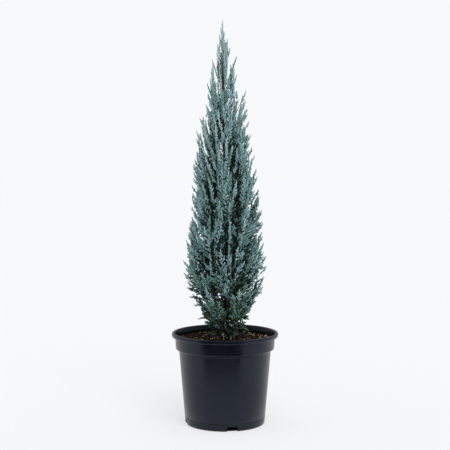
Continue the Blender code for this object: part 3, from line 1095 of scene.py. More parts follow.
@dataclass
class Trunk:
    """The single stem, which leans a little to the left as it rises and spreads in lobes at its foot."""

    foot: float = 0.1503
    top: float = 0.6240
    base_radius: float = 0.0043
    tip_radius: float = 0.0012
    flare_radius: float = 0.0056
    flare_height: float = 0.0100
    flare_lobes: float = 0.28
    base_x: float = 0.0016
    lean: float = -0.0062
    sway: float = 0.0010
    sways: float = 2.5
    crown_top: float = 0.7132
    sides: int = 28
    rings: int = 300
    furrow: float = 0.13
    bough_radii: Pair = (0.0023, 0.0016)
    bough_steps: int = 16
    bough_sides: int = 12
    young_from: float = 0.420
    young_bark: Stops = ((0.30, "#20130A"), (0.47, "#4A2F17"), (0.60, "#7A522B"), (0.76, "#A57C4A"))

    def centre(self, height: float) -> Vector:
        """Gives the stem's middle at a height."""
        share = max(0.0, (height - self.foot) / (self.crown_top - self.foot))
        sway = self.sway * math.sin(math.tau * self.sways * share) * (1 - share)
        return Vector((self.base_x + self.lean * share**1.3 + sway, 0.6 * sway, height))

    def radius(self, height: float) -> float:
        """Gives the stem's radius at a height, flare left out."""
        share = (height - self.foot) / (self.top - self.foot)
        return self.base_radius + (self.tip_radius - self.base_radius) * share

    def relief(self, angle: float, along: float) -> float:
        """Gives the bark's relief at a place: strips that run up the stem and wind a little round it.

        Args:
            angle: the place round the stem.
            along: the way along it.

        Returns:
            A share of the radius.
        """
        turn = angle + 5.0 * along
        spot = Vector((1.9 * math.cos(turn), 1.9 * math.sin(turn), along * 26))
        strips = abs(noise.noise(spot)) * 2 - 0.6
        fine = noise.noise(Vector((4.5 * math.cos(turn), 4.5 * math.sin(turn), along * 60)))
        return self.furrow * (0.7 * strips + 0.45 * fine)

    def stem_points(self) -> list[Vector]:
        """Makes the trunk's rings, with its lobes at the foot and the bark's relief.

        Returns:
            The rings' corners, one ring after the other.
        """
        points = []
        span = self.top - self.foot
        for ring in range(self.rings + 1):
            height = self.foot + span * (ring / self.rings) ** 1.15
            flare = math.exp(-3 * (height - self.foot) / self.flare_height)
            ease = min(1.0, (height - self.foot) / 0.004)
            for side in range(self.sides):
                angle = math.tau * side / self.sides
                lobe = 1 + self.flare_lobes * math.cos(4 * angle) * flare
                radius = (self.radius(height) + self.flare_radius * flare) * lobe
                radius *= 1 + self.relief(angle, height) * ease - 0.04
                points.append(self.centre(height) + radius * Vector((math.cos(angle), math.sin(angle), 0.0)))
        return points

    def bough_points(self, space: "PlumeSpace") -> list[Vector]:
        """Makes the rings of a bare bough, with the bark's relief.

        Args:
            space: the space of the plume that the bough carries.

        Returns:
            The rings' corners, one ring after the other.
        """
        points = []
        steps, sides = self.bough_steps, self.bough_sides
        near, far = self.bough_radii
        path = space.bough_path(steps)
        radii = [near + (far - near) * i / steps for i in range(steps + 1)]
        for index, point in enumerate(tube_points(path, radii, sides)):
            ring, side = divmod(index, sides)
            along = 3.0 * ring * 0.0015 + space.turn
            swell = 1 + 1.3 * self.relief(math.tau * side / sides, along)
            points.append(path[ring] + (point - path[ring]) * swell)
        return points

    def build(self, spaces: Sequence["PlumeSpace"]) -> None:
        """Builds the trunk and the bare boughs.

        Args:
            spaces: the plumes' spaces, some of which have a bough.
        """
        points, names = self.stem_points(), ["trunk"]
        faces = tube_faces(self.rings + 1, self.sides, 0)
        for space in spaces:
            if space.bough_out:
                names.append(space.node.replace("plume", "bough"))
                faces += tube_faces(self.bough_steps + 1, self.bough_sides, len(points))
                points += self.bough_points(space)
        piece = mesh_object("trunk_and_boughs", points, faces, outward=True)
        # The stem below young_from takes the darker old bark: partly the older bark's own colour, partly painted shade
        # of the stem among the foliage.
        paint(piece, (StringyBark(), StringyBark("young_juniper_bark", self.young_bark)))
        for face in piece.data.polygons:
            face.material_index = int(face.center.z > self.young_from)
        piece.data.shade_smooth()
        hold(piece, Slot.BARK, *names)


# The crown.


@dataclass
class Crown:
    """The crown's outline, the course of its limbs and the spiral of its plumes, by the source's rule."""

    trunk: Trunk
    top: float = 0.7132
    widest: float = 0.2790
    radius: float = 0.0740
    skirt: float = 0.1550
    skirt_share: float = 0.46
    skirt_power: float = 0.75
    spire_power: float = 0.60
    slack: float = 0.0040
    rise_low: float = 0.45
    rise_low_at: float = 0.1550
    rise_gain: float = 11.0
    rise_curve: float = 1.2
    rise_span: float = 0.0500
    turns: tuple[tuple[str, float, float, int], ...] = (
        ("skirt", 0.1535, 0.0, 5),
        ("low", 0.1760, 0.0230, 7),
        ("waist", 0.2100, 0.0210, 7),
        ("mid", 0.2520, 0.0, 5),
        ("high", 0.3040, 0.0, 5),
        ("shoulder", 0.3660, 0.0, 4),
        ("neck", 0.4360, 0.0, 4),
        ("crest", 0.5120, 0.0, 4),
    )
    crest_end: float = 0.5850
    leader_foot: float = 0.6200
    spiral_start: float = 163.0
    plume_width: float = 65.5
    plume_widening: float = 9.0
    widening_from: float = 3.5

    def radius_at(self, height: float) -> float:
        """Gives how far the crown reaches from the trunk at a height."""
        if height >= self.widest:
            return self.radius * max(0.0, (self.top - height) / (self.top - self.widest)) ** self.spire_power
        share = max(0.0, (height - self.skirt) / (self.widest - self.skirt))
        return self.radius * (self.skirt_share + (1 - self.skirt_share) * share**self.skirt_power)

    def rise(self, foot: float) -> float:
        """Gives a limb's height gained for each metre out, for its foot on the trunk."""
        return self.rise_low + self.rise_gain * (foot - self.rise_low_at)

    def curved(self, radius: float) -> float:
        """Gives the distance out as the limbs' curve takes it: wide near the trunk, then steeper."""
        return max(0.0, radius) ** self.rise_curve / self.rise_span ** (self.rise_curve - 1)

    def limb_height(self, foot: float, radius: float) -> float:
        """Gives the height of a limb where it is this far out from the trunk."""
        return foot + self.rise(foot) * self.curved(radius)

    def limb_foot(self, radius: float, height: float) -> float:
        """Gives the foot on the trunk of the limb that would pass through a place."""
        out = self.curved(radius)
        return (height - (self.rise_low - self.rise_gain * self.rise_low_at) * out) / (1 + self.rise_gain * out)

    def polar(self, point: Vector) -> Pair:
        """Gives the radius and azimuth of a point about the trunk, with azimuth 0 on the viewer's side."""
        away = point - self.trunk.centre(point.z)
        return math.hypot(away.x, away.y), math.atan2(away.x, -away.y)

    def floor_foot(self, turn: float) -> float:
        """Gives the height on the trunk of the spiral's floor, where it has made this many turns."""
        if turn < 1:
            return self.turns[0][1]
        if turn >= len(self.turns):
            return self.leader_foot
        feet = [foot for _, foot, _, _ in self.turns] + [self.crest_end]
        low, high = feet[int(turn)], feet[int(turn) + 1]
        return low + (high - low) * (turn - int(turn))

    def tier_distance(self, point: Vector, foot: float) -> float:
        """Gives how far a point lies above the surface that all limbs of one foot height sweep out."""
        radius, _ = self.polar(point)
        own = self.limb_foot(radius, point.z)
        slope = self.rise(own) * self.rise_curve * (radius / self.rise_span) ** (self.rise_curve - 1)
        return (own - foot) * (1 + self.rise_gain * self.curved(radius)) / math.hypot(1, slope)

    def spaces(self) -> list["PlumeSpace"]:
        """Gives the space of every plume of the spiral, then the leader's."""
        found: list[PlumeSpace] = []
        counts = {name: 0 for name, *_ in self.turns}
        start = 0.0
        while start < len(self.turns):
            width = self.plume_width + self.plume_widening * max(0.0, start - self.widening_from)
            end = start + width / 360
            if len(self.turns) - end < 0.5 * width / 360:
                end = float(len(self.turns))
            turn = (start + end) / 2
            name, _, bough_out, twigs = self.turns[int(turn)]
            counts[name] += 1
            node = f"{name}_plume_{counts[name]}"
            found.append(PlumeSpace(self, node, turn, math.tau * (end - start), bough_out, twigs))
            start = end
        found.append(LeaderSpace(self, "leader_plume", 0.0, math.tau, 0.0, 3))
        return found


@dataclass
class PlumeSpace:
    """The room of one plume: a slice of the spiral between two of its turns."""

    crown: Crown
    node: str
    turn: float
    width: float
    bough_out: float
    twigs: int
    stem_lift: float = 0.45

    def __post_init__(self) -> None:
        """Works out where the plume's middle line starts."""
        self.azimuth = math.radians(self.crown.spiral_start) + math.tau * self.turn
        self.foot = self.foot_at(0.0, self.stem_lift)
        self.inner = self.crown.trunk.radius(self.foot) + 0.0003
        self.root = self.bough_out or self.inner

    def foot_at(self, side: float, lift: float) -> float:
        """Gives the height on the trunk of the limb at a place in the slice."""
        turn = self.turn + side * self.width / 2 / math.tau
        low, high = self.crown.floor_foot(turn), self.crown.floor_foot(turn + 1)
        return low + (high - low) * lift

    def at(self, radius: float, side: float = 0.0, lift: float | None = None) -> Vector:
        """Gives the point this far out from the trunk, at a place in the slice.

        Args:
            radius: how far out.
            side: from -1 to 1 across the slice.
            lift: from 0 to 1 up the slice.

        Returns:
            The point.
        """
        height = self.crown.limb_height(self.foot_at(side, self.stem_lift if lift is None else lift), radius)
        return self.crown.trunk.centre(height) + radius * outward(self.azimuth + side * self.width / 2)

    def reach(self, side: float = 0.0, lift: float | None = None) -> float:
        """Gives how far out a place in the slice meets the crown's outline."""
        foot = self.foot_at(side, self.stem_lift if lift is None else lift)
        near, far = 0.0, self.crown.radius
        for _ in range(24):
            radius = (near + far) / 2
            if self.crown.radius_at(self.crown.limb_height(foot, radius)) > radius:
                near = radius
            else:
                far = radius
        return near

    def stem(self, share: float) -> Vector:
        """Gives the point at a share of the way along the plume's middle line."""
        return self.at(self.root + (self.reach() - self.root) * share)

    def toward(self, share: float, side: float, lift: float, way: float, root: float | None = None) -> Vector:
        """Gives the point part of the way from a place on the stem to a place on the outline.

        Args:
            share: the place on the stem.
            side: the place on the outline, from -1 to 1 across the slice.
            lift: the same, from 0 to 1 up the slice.
            way: the part of the way.
            root: where the stem is taken to start, if not at its bough's tip.

        Returns:
            The point.
        """
        start = self.root if root is None else root
        near = start + (self.reach() - start) * share
        radius = near + (self.reach(side, lift) - near) * way
        return self.at(radius, side * way, self.stem_lift + (lift - self.stem_lift) * way)

    def room(self, point: Vector) -> float:
        """Gives how far a point lies inside the slice."""
        radius, azimuth = self.crown.polar(point)
        off = turned(azimuth, self.azimuth)
        turn = self.turn + off / math.tau
        above = self.crown.tier_distance(point, self.crown.floor_foot(max(turn, 0.0)))
        below = -self.crown.tier_distance(point, self.crown.floor_foot(turn + 1))
        beside = radius * math.sin(max(-1.5, min(1.5, self.width / 2 - abs(off))))
        return min(beside, above, below)

    def bough_path(self, steps: int) -> list[Vector]:
        """Gives a bough's middle line from within the trunk's surface outwards, in steps."""
        start = self.inner - 0.0012
        return [self.at(start + (self.bough_out - start) * i / steps) for i in range(steps + 1)]


@dataclass
class LeaderSpace(PlumeSpace):
    """The room of the leader's plume: all that is above the spiral's end."""

    lift_off: float = 0.0070

    def __post_init__(self) -> None:
        """Starts the middle line at the trunk's tip."""
        self.azimuth, self.foot, self.inner = 0.0, self.crown.leader_foot, 0.0
        self.root = self.crown.trunk.top + 0.0003

    def stem(self, share: float) -> Vector:
        """Gives the point at a share of the way up the leader."""
        return self.crown.trunk.centre(self.root + (self.crown.top - self.root) * share)

    def toward(self, share: float, side: float, lift: float, way: float, root: float | None = None) -> Vector:
        """Gives the point part of the way from a place on the leader to the outline, to the side that is given."""
        low = self.root + (self.crown.top - self.root) * share
        height = low + 0.62 * (self.crown.top - low) * way
        reach = self.crown.radius_at(height) + 0.5 * self.crown.slack
        return self.crown.trunk.centre(height) + way * reach * outward(math.pi * side + math.tau * lift)

    def room(self, point: Vector) -> float:
        """Gives how far a point lies above the highest turn."""
        return self.crown.tier_distance(point, self.crown.leader_foot + self.lift_off)


@dataclass
class Harvest:
    """What the growing of one turn yields: the shoots, and the lines and girths of the twigs under them."""

    feet: list[float] = field(default_factory=list)
    turns: list[float] = field(default_factory=list)
    sizes: list[float] = field(default_factory=list)
    tints: list[int] = field(default_factory=list)
    forms: list[int] = field(default_factory=list)
    joints: list[Vector] = field(default_factory=list)
    girths: list[float] = field(default_factory=list)
    woods: list[int] = field(default_factory=list)
    links: list[tuple[int, int]] = field(default_factory=list)
    nodes: list[str] = field(default_factory=list)

    def add_shoot(
        self, foot: Vector, way: Vector, ahead: Vector, length: float, width: float, tint: Tint, form: ShootForm
    ) -> None:
        """Adds a shoot of scale leaves.

        Args:
            foot: where it starts.
            way: where it points.
            ahead: the way that it bends to.
            length: its length.
            width: its width.
            tint: its colour.
            form: its shape.
        """
        bend = (ahead - way * ahead.dot(way)).normalized()
        if bend.length < 0.5:
            bend = frame_of(way)[0]
        turn = Matrix((bend, way.cross(bend), way)).transposed().to_euler()
        self.feet.extend(foot)
        self.turns.extend(turn)
        self.sizes.extend((width / 2, width / 2, length))
        self.tints.append(tint.value)
        self.forms.append(form.value)

    def add_line(self, path: Sequence[Vector], start: float, end: float, wood: Wood) -> None:
        """Adds a twig's line.

        Args:
            path: its points.
            start: its radius where it starts.
            end: its radius at its tip.
            wood: its kind of wood.
        """
        first, last = len(self.joints), len(path) - 1
        for index, point in enumerate(path):
            self.joints.append(point)
            self.girths.append(start + (end - start) * index / last)
            self.woods.append(wood.value)
        self.links += [(first + k, first + k + 1) for k in range(last)]

    def take(self, other: "Harvest") -> None:
        """Takes in the twigs' lines of another harvest.

        Args:
            other: the other harvest.
        """
        start = len(self.joints)
        self.joints += other.joints
        self.girths += other.girths
        self.woods += other.woods
        self.links += [(a + start, b + start) for a, b in other.links]


class TwigRound(NamedTuple):
    """A round of twigs that a plume grows beside the source's own: how many, where they stand and how far they go."""

    counts: tuple[int, int, int]
    first: float
    span: float
    side_spread: float
    tier_spread: float
    reach: Pair
    bare: float


class Gap(NamedTuple):
    """A straight gap between two plumes as the viewer sees it, from its foot to its head, with its half width."""

    foot_x: float
    foot: float
    head_x: float
    head: float
    half: float

    def share(self, height: float) -> float:
        """Gives how far up the gap a height lies."""
        return (height - self.foot) / (self.head - self.foot)

    def off(self, across: float, height: float) -> float:
        """Gives how far a place lies from the gap's middle line."""
        return abs(across - self.foot_x - (self.head_x - self.foot_x) * self.share(height))


@dataclass
class Foliage:
    """The plumes' twigs and shoots, grown by the source's rule and carried to finer twigs.

    Three values stand for the foot, the middle and the top of the crown, at the heights that grades gives.
    """

    crown: Crown

    # The twigs of a plume.
    first_twig: float = 0.04
    last_twig: float = 0.56
    side_spread: float = 0.64
    tier_spread: float = 0.38
    foot_grades: Triple = (0.23, 0.42, 0.53)
    rounds: tuple[TwigRound, ...] = (
        TwigRound((8, 5, 2), 0.0, 0.50, 0.92, 0.52, (0.70, 1.03), 0.18),
        TwigRound((5, 3, 1), 0.04, 0.56, 0.60, 0.36, (0.50, 0.80), 0.12),
    )
    stem_girths: Pair = (1.6 * MM, 0.9 * MM)
    tip_girth: float = 0.4 * MM
    least_girth: float = 0.5 * MM
    most_girth: float = 1.1 * MM
    girth_gain: float = 0.009
    shortest_twig: float = 10 * MM
    source_reach: Pair = (0.86, 1.0)
    source_inset: float = 0.01
    stem_bare: float = 0.35
    leader_bare: float = 0.04
    lowest: float = 0.1530

    # Branchlets and shoots.
    grades: Triple = (0.20, 0.42, 0.63)
    pitch: Triple = (3.1 * MM, 2.5 * MM, 2.8 * MM)
    side_share: Triple = (0.28, 0.30, 0.17)
    longest: Triple = (15 * MM, 15 * MM, 9.5 * MM)
    spread: Triple = (42.0, 40.0, 26.0)
    side_length: Triple = (2.2 * MM, 2.2 * MM, 1.8 * MM)
    side_spread_share: float = 0.58
    side_pitch: float = 3.2 * MM
    side_bare: float = 2.5 * MM
    side_from: float = 0.14
    side_range: float = 0.50
    side_growth: float = 0.22
    side_width: float = 0.86
    shoot_width: Triple = (3.3 * MM, 3.1 * MM, 3.1 * MM)
    fan: float = math.radians(78)
    steep: float = 0.80
    shortest: float = 4.6 * MM
    short_under: float = 6 * MM
    shrink: float = 0.8
    least_share: float = 0.55
    upturn: float = 0.06
    tip_longest: float = 13 * MM
    tip_share: float = 0.4
    tip_width: float = 1.05
    overlap: float = 3.5 * MM

    # Where the foliage is slimmer than the outline: heights, sides and shares.
    spire: Triple = (0.625, 0.700, 0.62)
    neck: Pair = (0.548, 0.26)
    skirt_slim: Triple = (0.195, 0.240, 0.15)
    right_plume: Pair = (math.radians(95), 0.053)
    left_waist: tuple[float, float, float, float] = (math.radians(-90), 0.375, 0.07, 0.040)
    uneven: float = 0.10
    uneven_pitch: float = 60.0

    # Where it opens: on the stem in front, and in straight gaps, each by its foot, its head and its half width.
    stem_gaps: tuple[Pair, ...] = ((0.198, 0.226), (0.458, 0.500), (0.528, 0.640))
    stem_gap_half: float = 2.3 * MM
    stem_hollow: Pair = (0.188, 0.234)
    hollow_half: float = 5.0 * MM
    clefts: tuple[Gap, ...] = (
        Gap(0.0234, 0.548, 0.0331, 0.594, 0.0080),
        Gap(-0.0240, 0.5050, -0.0315, 0.5466, 0.0026),
        Gap(0.0066, 0.6044, 0.0119, 0.6499, 0.0034),
        Gap(-0.0058, 0.6044, -0.0103, 0.6534, 0.0034),
    )
    furrows: tuple[Gap, ...] = (
        Gap(-0.0218, 0.350, -0.0138, 0.474, 0.0015),
        Gap(0.0198, 0.343, 0.0243, 0.462, 0.0018),
        Gap(0.0120, 0.262, 0.0180, 0.343, 0.0026),
        Gap(-0.0215, 0.276, -0.0200, 0.335, 0.0020),
    )
    furrow_floor: float = 0.45

    # The leader, and the shoots that stand out by themselves: the tip's height in metres, then in millimetres
    # its way across and to the back, its drop, and for the lone ones the length of their branchlets.
    leader_reach: float = 5.0 * MM
    lone_reach: float = 0.10
    slender_pitch: float = 0.72
    slender_taper: float = 0.4
    slender_size: float = 0.65
    leader_slim: float = 0.42
    taper: float = 0.5
    tip_ahead: float = 2.5 * MM
    clean_tip: float = 5.0 * MM
    lone_shoots: Shoots = (
        (0.7003, -3.2, -1.0, 17, 2.4),
        (0.6975, 0.5, 3.0, 17, 2.4),
        (0.6935, 3.0, 0.5, 17, 2.4),
        (0.6905, -1.0, -3.6, 18, 2.6),
        (0.6874, -5.5, -1.0, 28, 3.0),
        (0.6840, -2.0, 5.5, 24, 2.8),
        (0.6801, 8.7, 1.0, 30, 3.0),
        (0.6715, -9.2, 2.0, 32, 3.2),
        (0.6641, 12.4, -3.0, 38, 3.5),
        (0.6502, 23.5, 2.0, 56, 4.5),
        (0.6441, -18.6, -1.0, 52, 4.5),
        (0.6168, 23.4, -6.0, 54, 5.5),
        (0.6027, -28.0, 2.0, 62, 6.0),
        (0.5921, 40.8, -2.0, 74, 9.0),
        (0.5850, -27.0, -7.0, 62, 6.5),
        (0.5764, 27.0, -8.0, 60, 7.0),
        (0.5606, 42.0, 5.0, 70, 8.0),
        (0.5588, -29.0, -4.0, 66, 7.0),
        (0.6700, 2.0, 9.0, 34, 3.5),
        (0.6520, 2.0, -12.0, 40, 3.5),
        (0.6350, -4.0, 20.0, 54, 5.0),
        (0.6280, 5.0, -20.0, 52, 5.0),
        (0.6000, 3.0, 27.0, 60, 6.0),
        (0.5900, -3.0, -27.0, 62, 6.0),
        (0.5553, -12.0, -22.0, 60, 8.0),
        (0.5080, -21.0, 7.0, 72, 10.0),
        (0.4860, -26.5, 10.0, 72, 10.0),
        (0.4720, -22.0, 16.0, 72, 11.0),
        (0.3880, -10.0, -33.0, 72, 12.0),
        (0.4214, -6.0, -42.0, 100, 13.0),
        (0.3502, -10.0, -54.0, 105, 14.0),
        (0.3127, 31.5, -52.0, 95, 13.0),
        (0.3038, 10.0, -60.0, 95, 13.0),
        (0.2680, -38.0, -48.0, 70, 12.0),
        (0.2644, 2.5, -60.0, 74, 12.0),
        (0.2339, 13.0, -46.0, 55, 10.0),
    )
    back_shoots: Shoots = (
        (0.4760, -30.0, 15.0, 78, 11.0),
        (0.4480, -31.0, 20.0, 76, 12.0),
        (0.4300, -36.0, 12.0, 74, 12.0),
    )
    foot_spikes: Shoots = (
        (0.2788, 69.0, 3.0, 36),
        (0.2609, -69.5, 4.0, 34),
        (0.2430, -69.5, -6.0, 30),
        (0.2340, 62.0, -5.0, 27),
        (0.2260, -65.5, 2.0, 24),
        (0.2179, 51.4, 3.0, 22),
        (0.2126, -58.5, -8.0, 19),
        (0.2070, 39.0, -10.0, 17),
        (0.1874, -47.8, -2.0, 9),
        (0.1874, 37.2, -4.0, 1),
        (0.1819, -32.8, -14.0, 8),
        (0.1690, 37.2, -12.0, 3),
    )

    # Sprays, sprigs and stubs low on the stem, and short shoots at the edge.
    mix_reach: float = 70 * MM
    rim_clear: float = 0.1580
    spike_arch: float = 9 * MM
    spike_reach: float = 9 * MM
    edge_shoots: int = 210
    edge_span: Pair = (0.225, 0.595)
    edge_reach: float = 5.5 * MM
    edge_share: Pair = (0.92, 0.965)
    edge_run: Pair = (7.0, 12.0)
    trunk_sprays: int = 112
    spray_span: float = 0.200
    spray_flat: Pair = (0.32, 0.80)
    spray_reach: Pair = (0.50, 1.06)
    foot_sprigs: int = 62
    foot_sprig_heights: Pair = (0.1525, 0.2150)
    foot_reach: float = 6.5 * MM
    sprig_lift: Pair = (5.0, 30.0)
    sprig_length: Pair = (14.0, 24.0)
    stub_sides: tuple[float, ...] = (0.62, -0.30, 1.9, -1.6, 2.9, -2.5)
    seed: int = 7
    leader_seed: int = 3

    def __post_init__(self) -> None:
        """Starts the random numbers: the source's own, and others for what is finer."""
        self.rng = random.Random(self.seed)
        self.fine = random.Random(self.seed + 14)

    def at_height(self, values: Sequence[float], height: float, grades: Sequence[float] | None = None) -> float:
        """Gives a value for a height from its values near the foot, at half height and near the top.

        Args:
            values: the three values.
            height: the height.
            grades: the heights of the three values, if not those of the shoots.

        Returns:
            The value between them.
        """
        low, middle, high = grades or self.grades
        if height < middle:
            share = max(0.0, (height - low) / (middle - low))
            return values[0] + (values[1] - values[0]) * share
        share = min(1.0, (height - middle) / (high - middle))
        return values[1] + (values[2] - values[1]) * share

    def slimness(self, height: float, azimuth: float) -> float:
        """Gives how much of the outline the foliage fills: slim in the spire and the neck, where one plume stands out.

        Args:
            height: the height.
            azimuth: the side of the trunk.

        Returns:
            A share of the outline's radius.
        """
        low, high, share = self.spire
        spire = share * eased(height, low, high)
        low, share = self.neck
        side, lift = self.right_plume
        low += lift * math.exp(-((turned(azimuth, side) / 0.8) ** 2))
        neck = share * eased(height, low - 0.012, low + 0.012)
        low, high, share = self.skirt_slim
        skirt = share * (1 - eased(height, low, high))
        side, middle, share, half = self.left_waist
        skirt += share * math.exp(-((turned(azimuth, side) / 0.7) ** 2) - ((height - middle) / half) ** 2)
        return (1 - neck) * (1 - spire) * (1 - skirt)

    def edge(self, height: float, azimuth: float) -> float:
        """Gives how far the tips reach at a height, never past the crown's outline and its slack."""
        return (self.crown.radius_at(height) + self.crown.slack) * self.slimness(height, azimuth)

    def limit(self, height: float, azimuth: float) -> float:
        """Gives how far the closed foliage reaches at a height, unevenly within the edge."""
        round_x, round_y = math.sin(azimuth), math.cos(azimuth)
        uneven = self.uneven * (noise.noise(Vector((4 * round_x, 4 * round_y, height * self.uneven_pitch))) - 0.8)
        return self.edge(height, azimuth) * (1 + uneven)

    def drawn_in(self, path: list[Vector]) -> list[Vector]:
        """Draws a twig's line in towards the trunk as far as the foliage is slimmer than the outline."""
        drawn = []
        for point in path:
            _, azimuth = self.crown.polar(point)
            centre = self.crown.trunk.centre(point.z)
            drawn.append(centre + (point - centre) * self.slimness(point.z, azimuth))
        return drawn

    def parted(self, point: Vector) -> bool:
        """Tells whether a point lies in a gap between two plumes, where sky or shade shows.

        Args:
            point: the point.

        Returns:
            True in a cleft, which goes right through the crown, and in a furrow of its front.
        """
        radius, azimuth = self.crown.polar(point)
        across = radius * math.sin(azimuth)
        wave = 2.5 * MM * noise.noise(Vector((across * 9, 3.1, point.z * 45)))
        for gap in self.clefts:
            share = gap.share(point.z)
            if 0 < share < 1.15 and gap.off(across, point.z) < gap.half * min(1.0, share):
                return True
        if abs(azimuth) > math.pi / 2 or radius < self.furrow_floor * self.crown.radius_at(point.z):
            return False
        return any(0 < gap.share(point.z) < 1 and gap.off(across + wave, point.z) < gap.half for gap in self.furrows)

    def allows(self, point: Vector) -> bool:
        """Tells whether a shoot may end at a point.

        Args:
            point: the point.

        Returns:
            False out of the crown, in the mix, in a gap between two plumes, or where the stem shows through.
        """
        radius, azimuth = self.crown.polar(point)
        if radius > self.limit(point.z, azimuth) or point.z < self.lowest:
            return False
        across = radius * math.sin(azimuth)
        if abs(across) < self.stem_gap_half and abs(azimuth) < math.pi / 2:
            if any(low < point.z < high for low, high in self.stem_gaps):
                return False
        return not self.parted(point)

    def outlined(self, point: Vector) -> bool:
        """Tells whether a point lies in the crown's outline, for a shoot that stands out by itself."""
        radius, azimuth = self.crown.polar(point)
        if self.stem_hollow[0] < point.z < self.stem_hollow[1] and abs(azimuth) < math.pi / 2:
            if abs(radius * math.sin(azimuth)) < self.hollow_half:
                return False
        return radius < self.crown.radius_at(point.z) + self.crown.slack and not self.parted(point)

    def tint(self, point: Vector, spray: Tint | None = None) -> Tint:
        """Deals out a colour: pale outside and high up, partly the paler young growth and partly painted light of the
        lit top; dark deep inside, painted shade; greener towards the foot, partly the older growth's own colour and
        partly painted shade.

        Args:
            point: the place.
            spray: the colour of the spray that it belongs to, which most of its branchlets share.

        Returns:
            The colour.
        """
        radius, azimuth = self.crown.polar(point)
        depth = max(0.0, self.edge(point.z, azimuth) - radius)
        # Paler tints high up: partly the young growth's bloom, partly painted light of the lit top.
        high = clamp((point.z - 0.36) / 0.26) ** 1.6
        low = clamp((0.56 - point.z) / 0.32)
        foot = clamp((0.28 - point.z) / 0.08)
        # Darker, greener tints at the stem's foot: painted shade where the light hardly reaches.
        painted_foot_shade = clamp((0.212 - point.z) / 0.04)
        # Dark tints deep inside the outline: painted shade.
        inside = clamp((depth - 0.011) / 0.018) * (1 - 0.4 * high)
        weights = {
            Tint.BLOOM: (0.08 + 0.36 * high) * (1 - inside) * (1 - 0.5 * foot),
            Tint.BLUE: 0.50 * (1 - 0.75 * inside) * (1 - 0.30 * low) * (1 - 0.3 * foot) * (1 - 0.8 * painted_foot_shade),
            Tint.TEAL: (0.16 + 0.24 * low) * (1 - 0.3 * inside) * (1 - 0.5 * painted_foot_shade),
            Tint.SHADE: 0.9 * inside + (0.06 * low + 0.14 * foot) * min(1.0, depth / 0.008) + 0.5 * painted_foot_shade,
            Tint.GREEN: 0.12 * inside + 0.02 * low + (0.34 + 0.5 * inside) * foot + 0.4 * painted_foot_shade,
            Tint.MOSS: 0.06 * low + 0.42 * foot,
        }
        if spray is not None:
            weights[spray] *= 1 + 8 * (1 - inside)
        return self.fine.choices(list(weights), list(weights.values()))[0]

    def branchlet(
        self, allowed: Allowed, foot: Vector, way: Vector, along: Vector, length: float, spray: Tint, out: Harvest
    ) -> None:
        """Grows one branchlet: a bearing shoot, with short shoots to either side of it.

        Args:
            allowed: tells whether a shoot may end at a point.
            foot: where it starts.
            way: where it points.
            along: the way of the twig that it stands on, to which it bends.
            length: its length.
            spray: its spray's colour.
            out: what is grown.
        """
        while not (allowed(foot + way * length) and allowed(foot + way * (0.6 * length))):
            length *= self.shrink
            if length < self.least_share * self.shortest:
                return
        tint = self.tint(foot + way * length, spray)
        angle, side_length = self.at_height(self.spread, foot.z), self.at_height(self.side_length, foot.z)
        width = self.at_height(self.shoot_width, foot.z) * self.fine.uniform(0.9, 1.1)
        short = length < self.short_under
        out.add_shoot(foot, way, along, length, width, tint, ShootForm.SHORT if short else ShootForm.BEARING)
        count = 0 if short else round((length - self.side_bare) / self.side_pitch)
        flat = way.cross(along).normalized()
        thick = flat.cross(way).normalized()
        turn = math.pi * (self.fine.random() < 0.5)
        for index in range(count):
            share = self.side_from + self.side_range * index / max(1, count - 1)
            turn += math.pi
            off = turn + self.fine.uniform(-0.7, 0.7)
            spread = math.radians(self.side_spread_share * angle + self.fine.uniform(-4, 6))
            lean = flat * math.cos(off) + thick * math.sin(off)
            heading = (way * math.cos(spread) + lean * math.sin(spread)).normalized()
            size = (self.side_growth * length * (1.0 - share) + side_length) * self.fine.uniform(0.85, 1.15)
            start = foot + way * (length * share)
            if allowed(start + heading * size):
                out.add_shoot(start, heading, way, size, self.side_width * width, tint, ShootForm.SIDE)

    def feather(
        self, allowed: Allowed, path: Sequence[Vector], bare: float, reach: float, out: Harvest, slender: bool = False
    ) -> None:
        """Grows a twig's branchlets, longest near its foot, so that it looks like a feather.

        A steep twig has them to both sides and outwards, where there is light, and a flatter one all round.

        Args:
            allowed: tells whether a shoot may end at a point.
            path: the twig's line.
            bare: the length near its foot without branchlets.
            reach: the length of its longest branchlet.
            out: what is grown.
            slender: whether its branchlets stay nearly as long, and closer together, up to its tip.
        """
        taper = self.slender_taper * self.taper if slender else self.taper
        closer = self.slender_pitch if slender else 1.0
        slight = self.slender_size if slender else 1.0
        steps = [(b - a).length for a, b in zip(path, path[1:])]
        total = sum(steps)
        spray = self.tint(path[-1])
        place, turn, count = bare, self.fine.uniform(0, math.tau), 0
        while place < total - self.clean_tip:
            left, index = place, 0
            while left > steps[index]:
                left -= steps[index]
                index += 1
            axis = (path[index + 1] - path[index]).normalized()
            point = path[index] + axis * left
            share = (place - bare) / max(1e-6, total - bare)
            grow = min(1.0, 0.55 + 2.0 * share) * (1 - share) ** taper
            length = max(slight * self.shortest, reach * grow * self.fine.uniform(0.80, 1.15))
            level, inner = frame_of(axis)
            turn += GOLDEN_ANGLE + self.fine.uniform(-0.4, 0.4)
            count += 1
            fanned = axis.z > self.steep and not slender
            off = self.fan * (count % 3 - 1) + self.fine.uniform(-0.35, 0.35) if fanned else turn
            open_out = (0.5 + 0.5 * slight) * self.at_height(self.spread, point.z)
            spread = math.radians(open_out + self.fine.uniform(-6, 6))
            side = level * math.sin(off) - inner * math.cos(off)
            way = (axis * math.cos(spread) + side * math.sin(spread) + self.upturn * UP).normalized()
            self.branchlet(allowed, point, way, axis, length, spray, out)
            place += closer * self.at_height(self.pitch, point.z) * self.fine.uniform(0.8, 1.2)
        axis = (path[-1] - path[-2]).normalized()
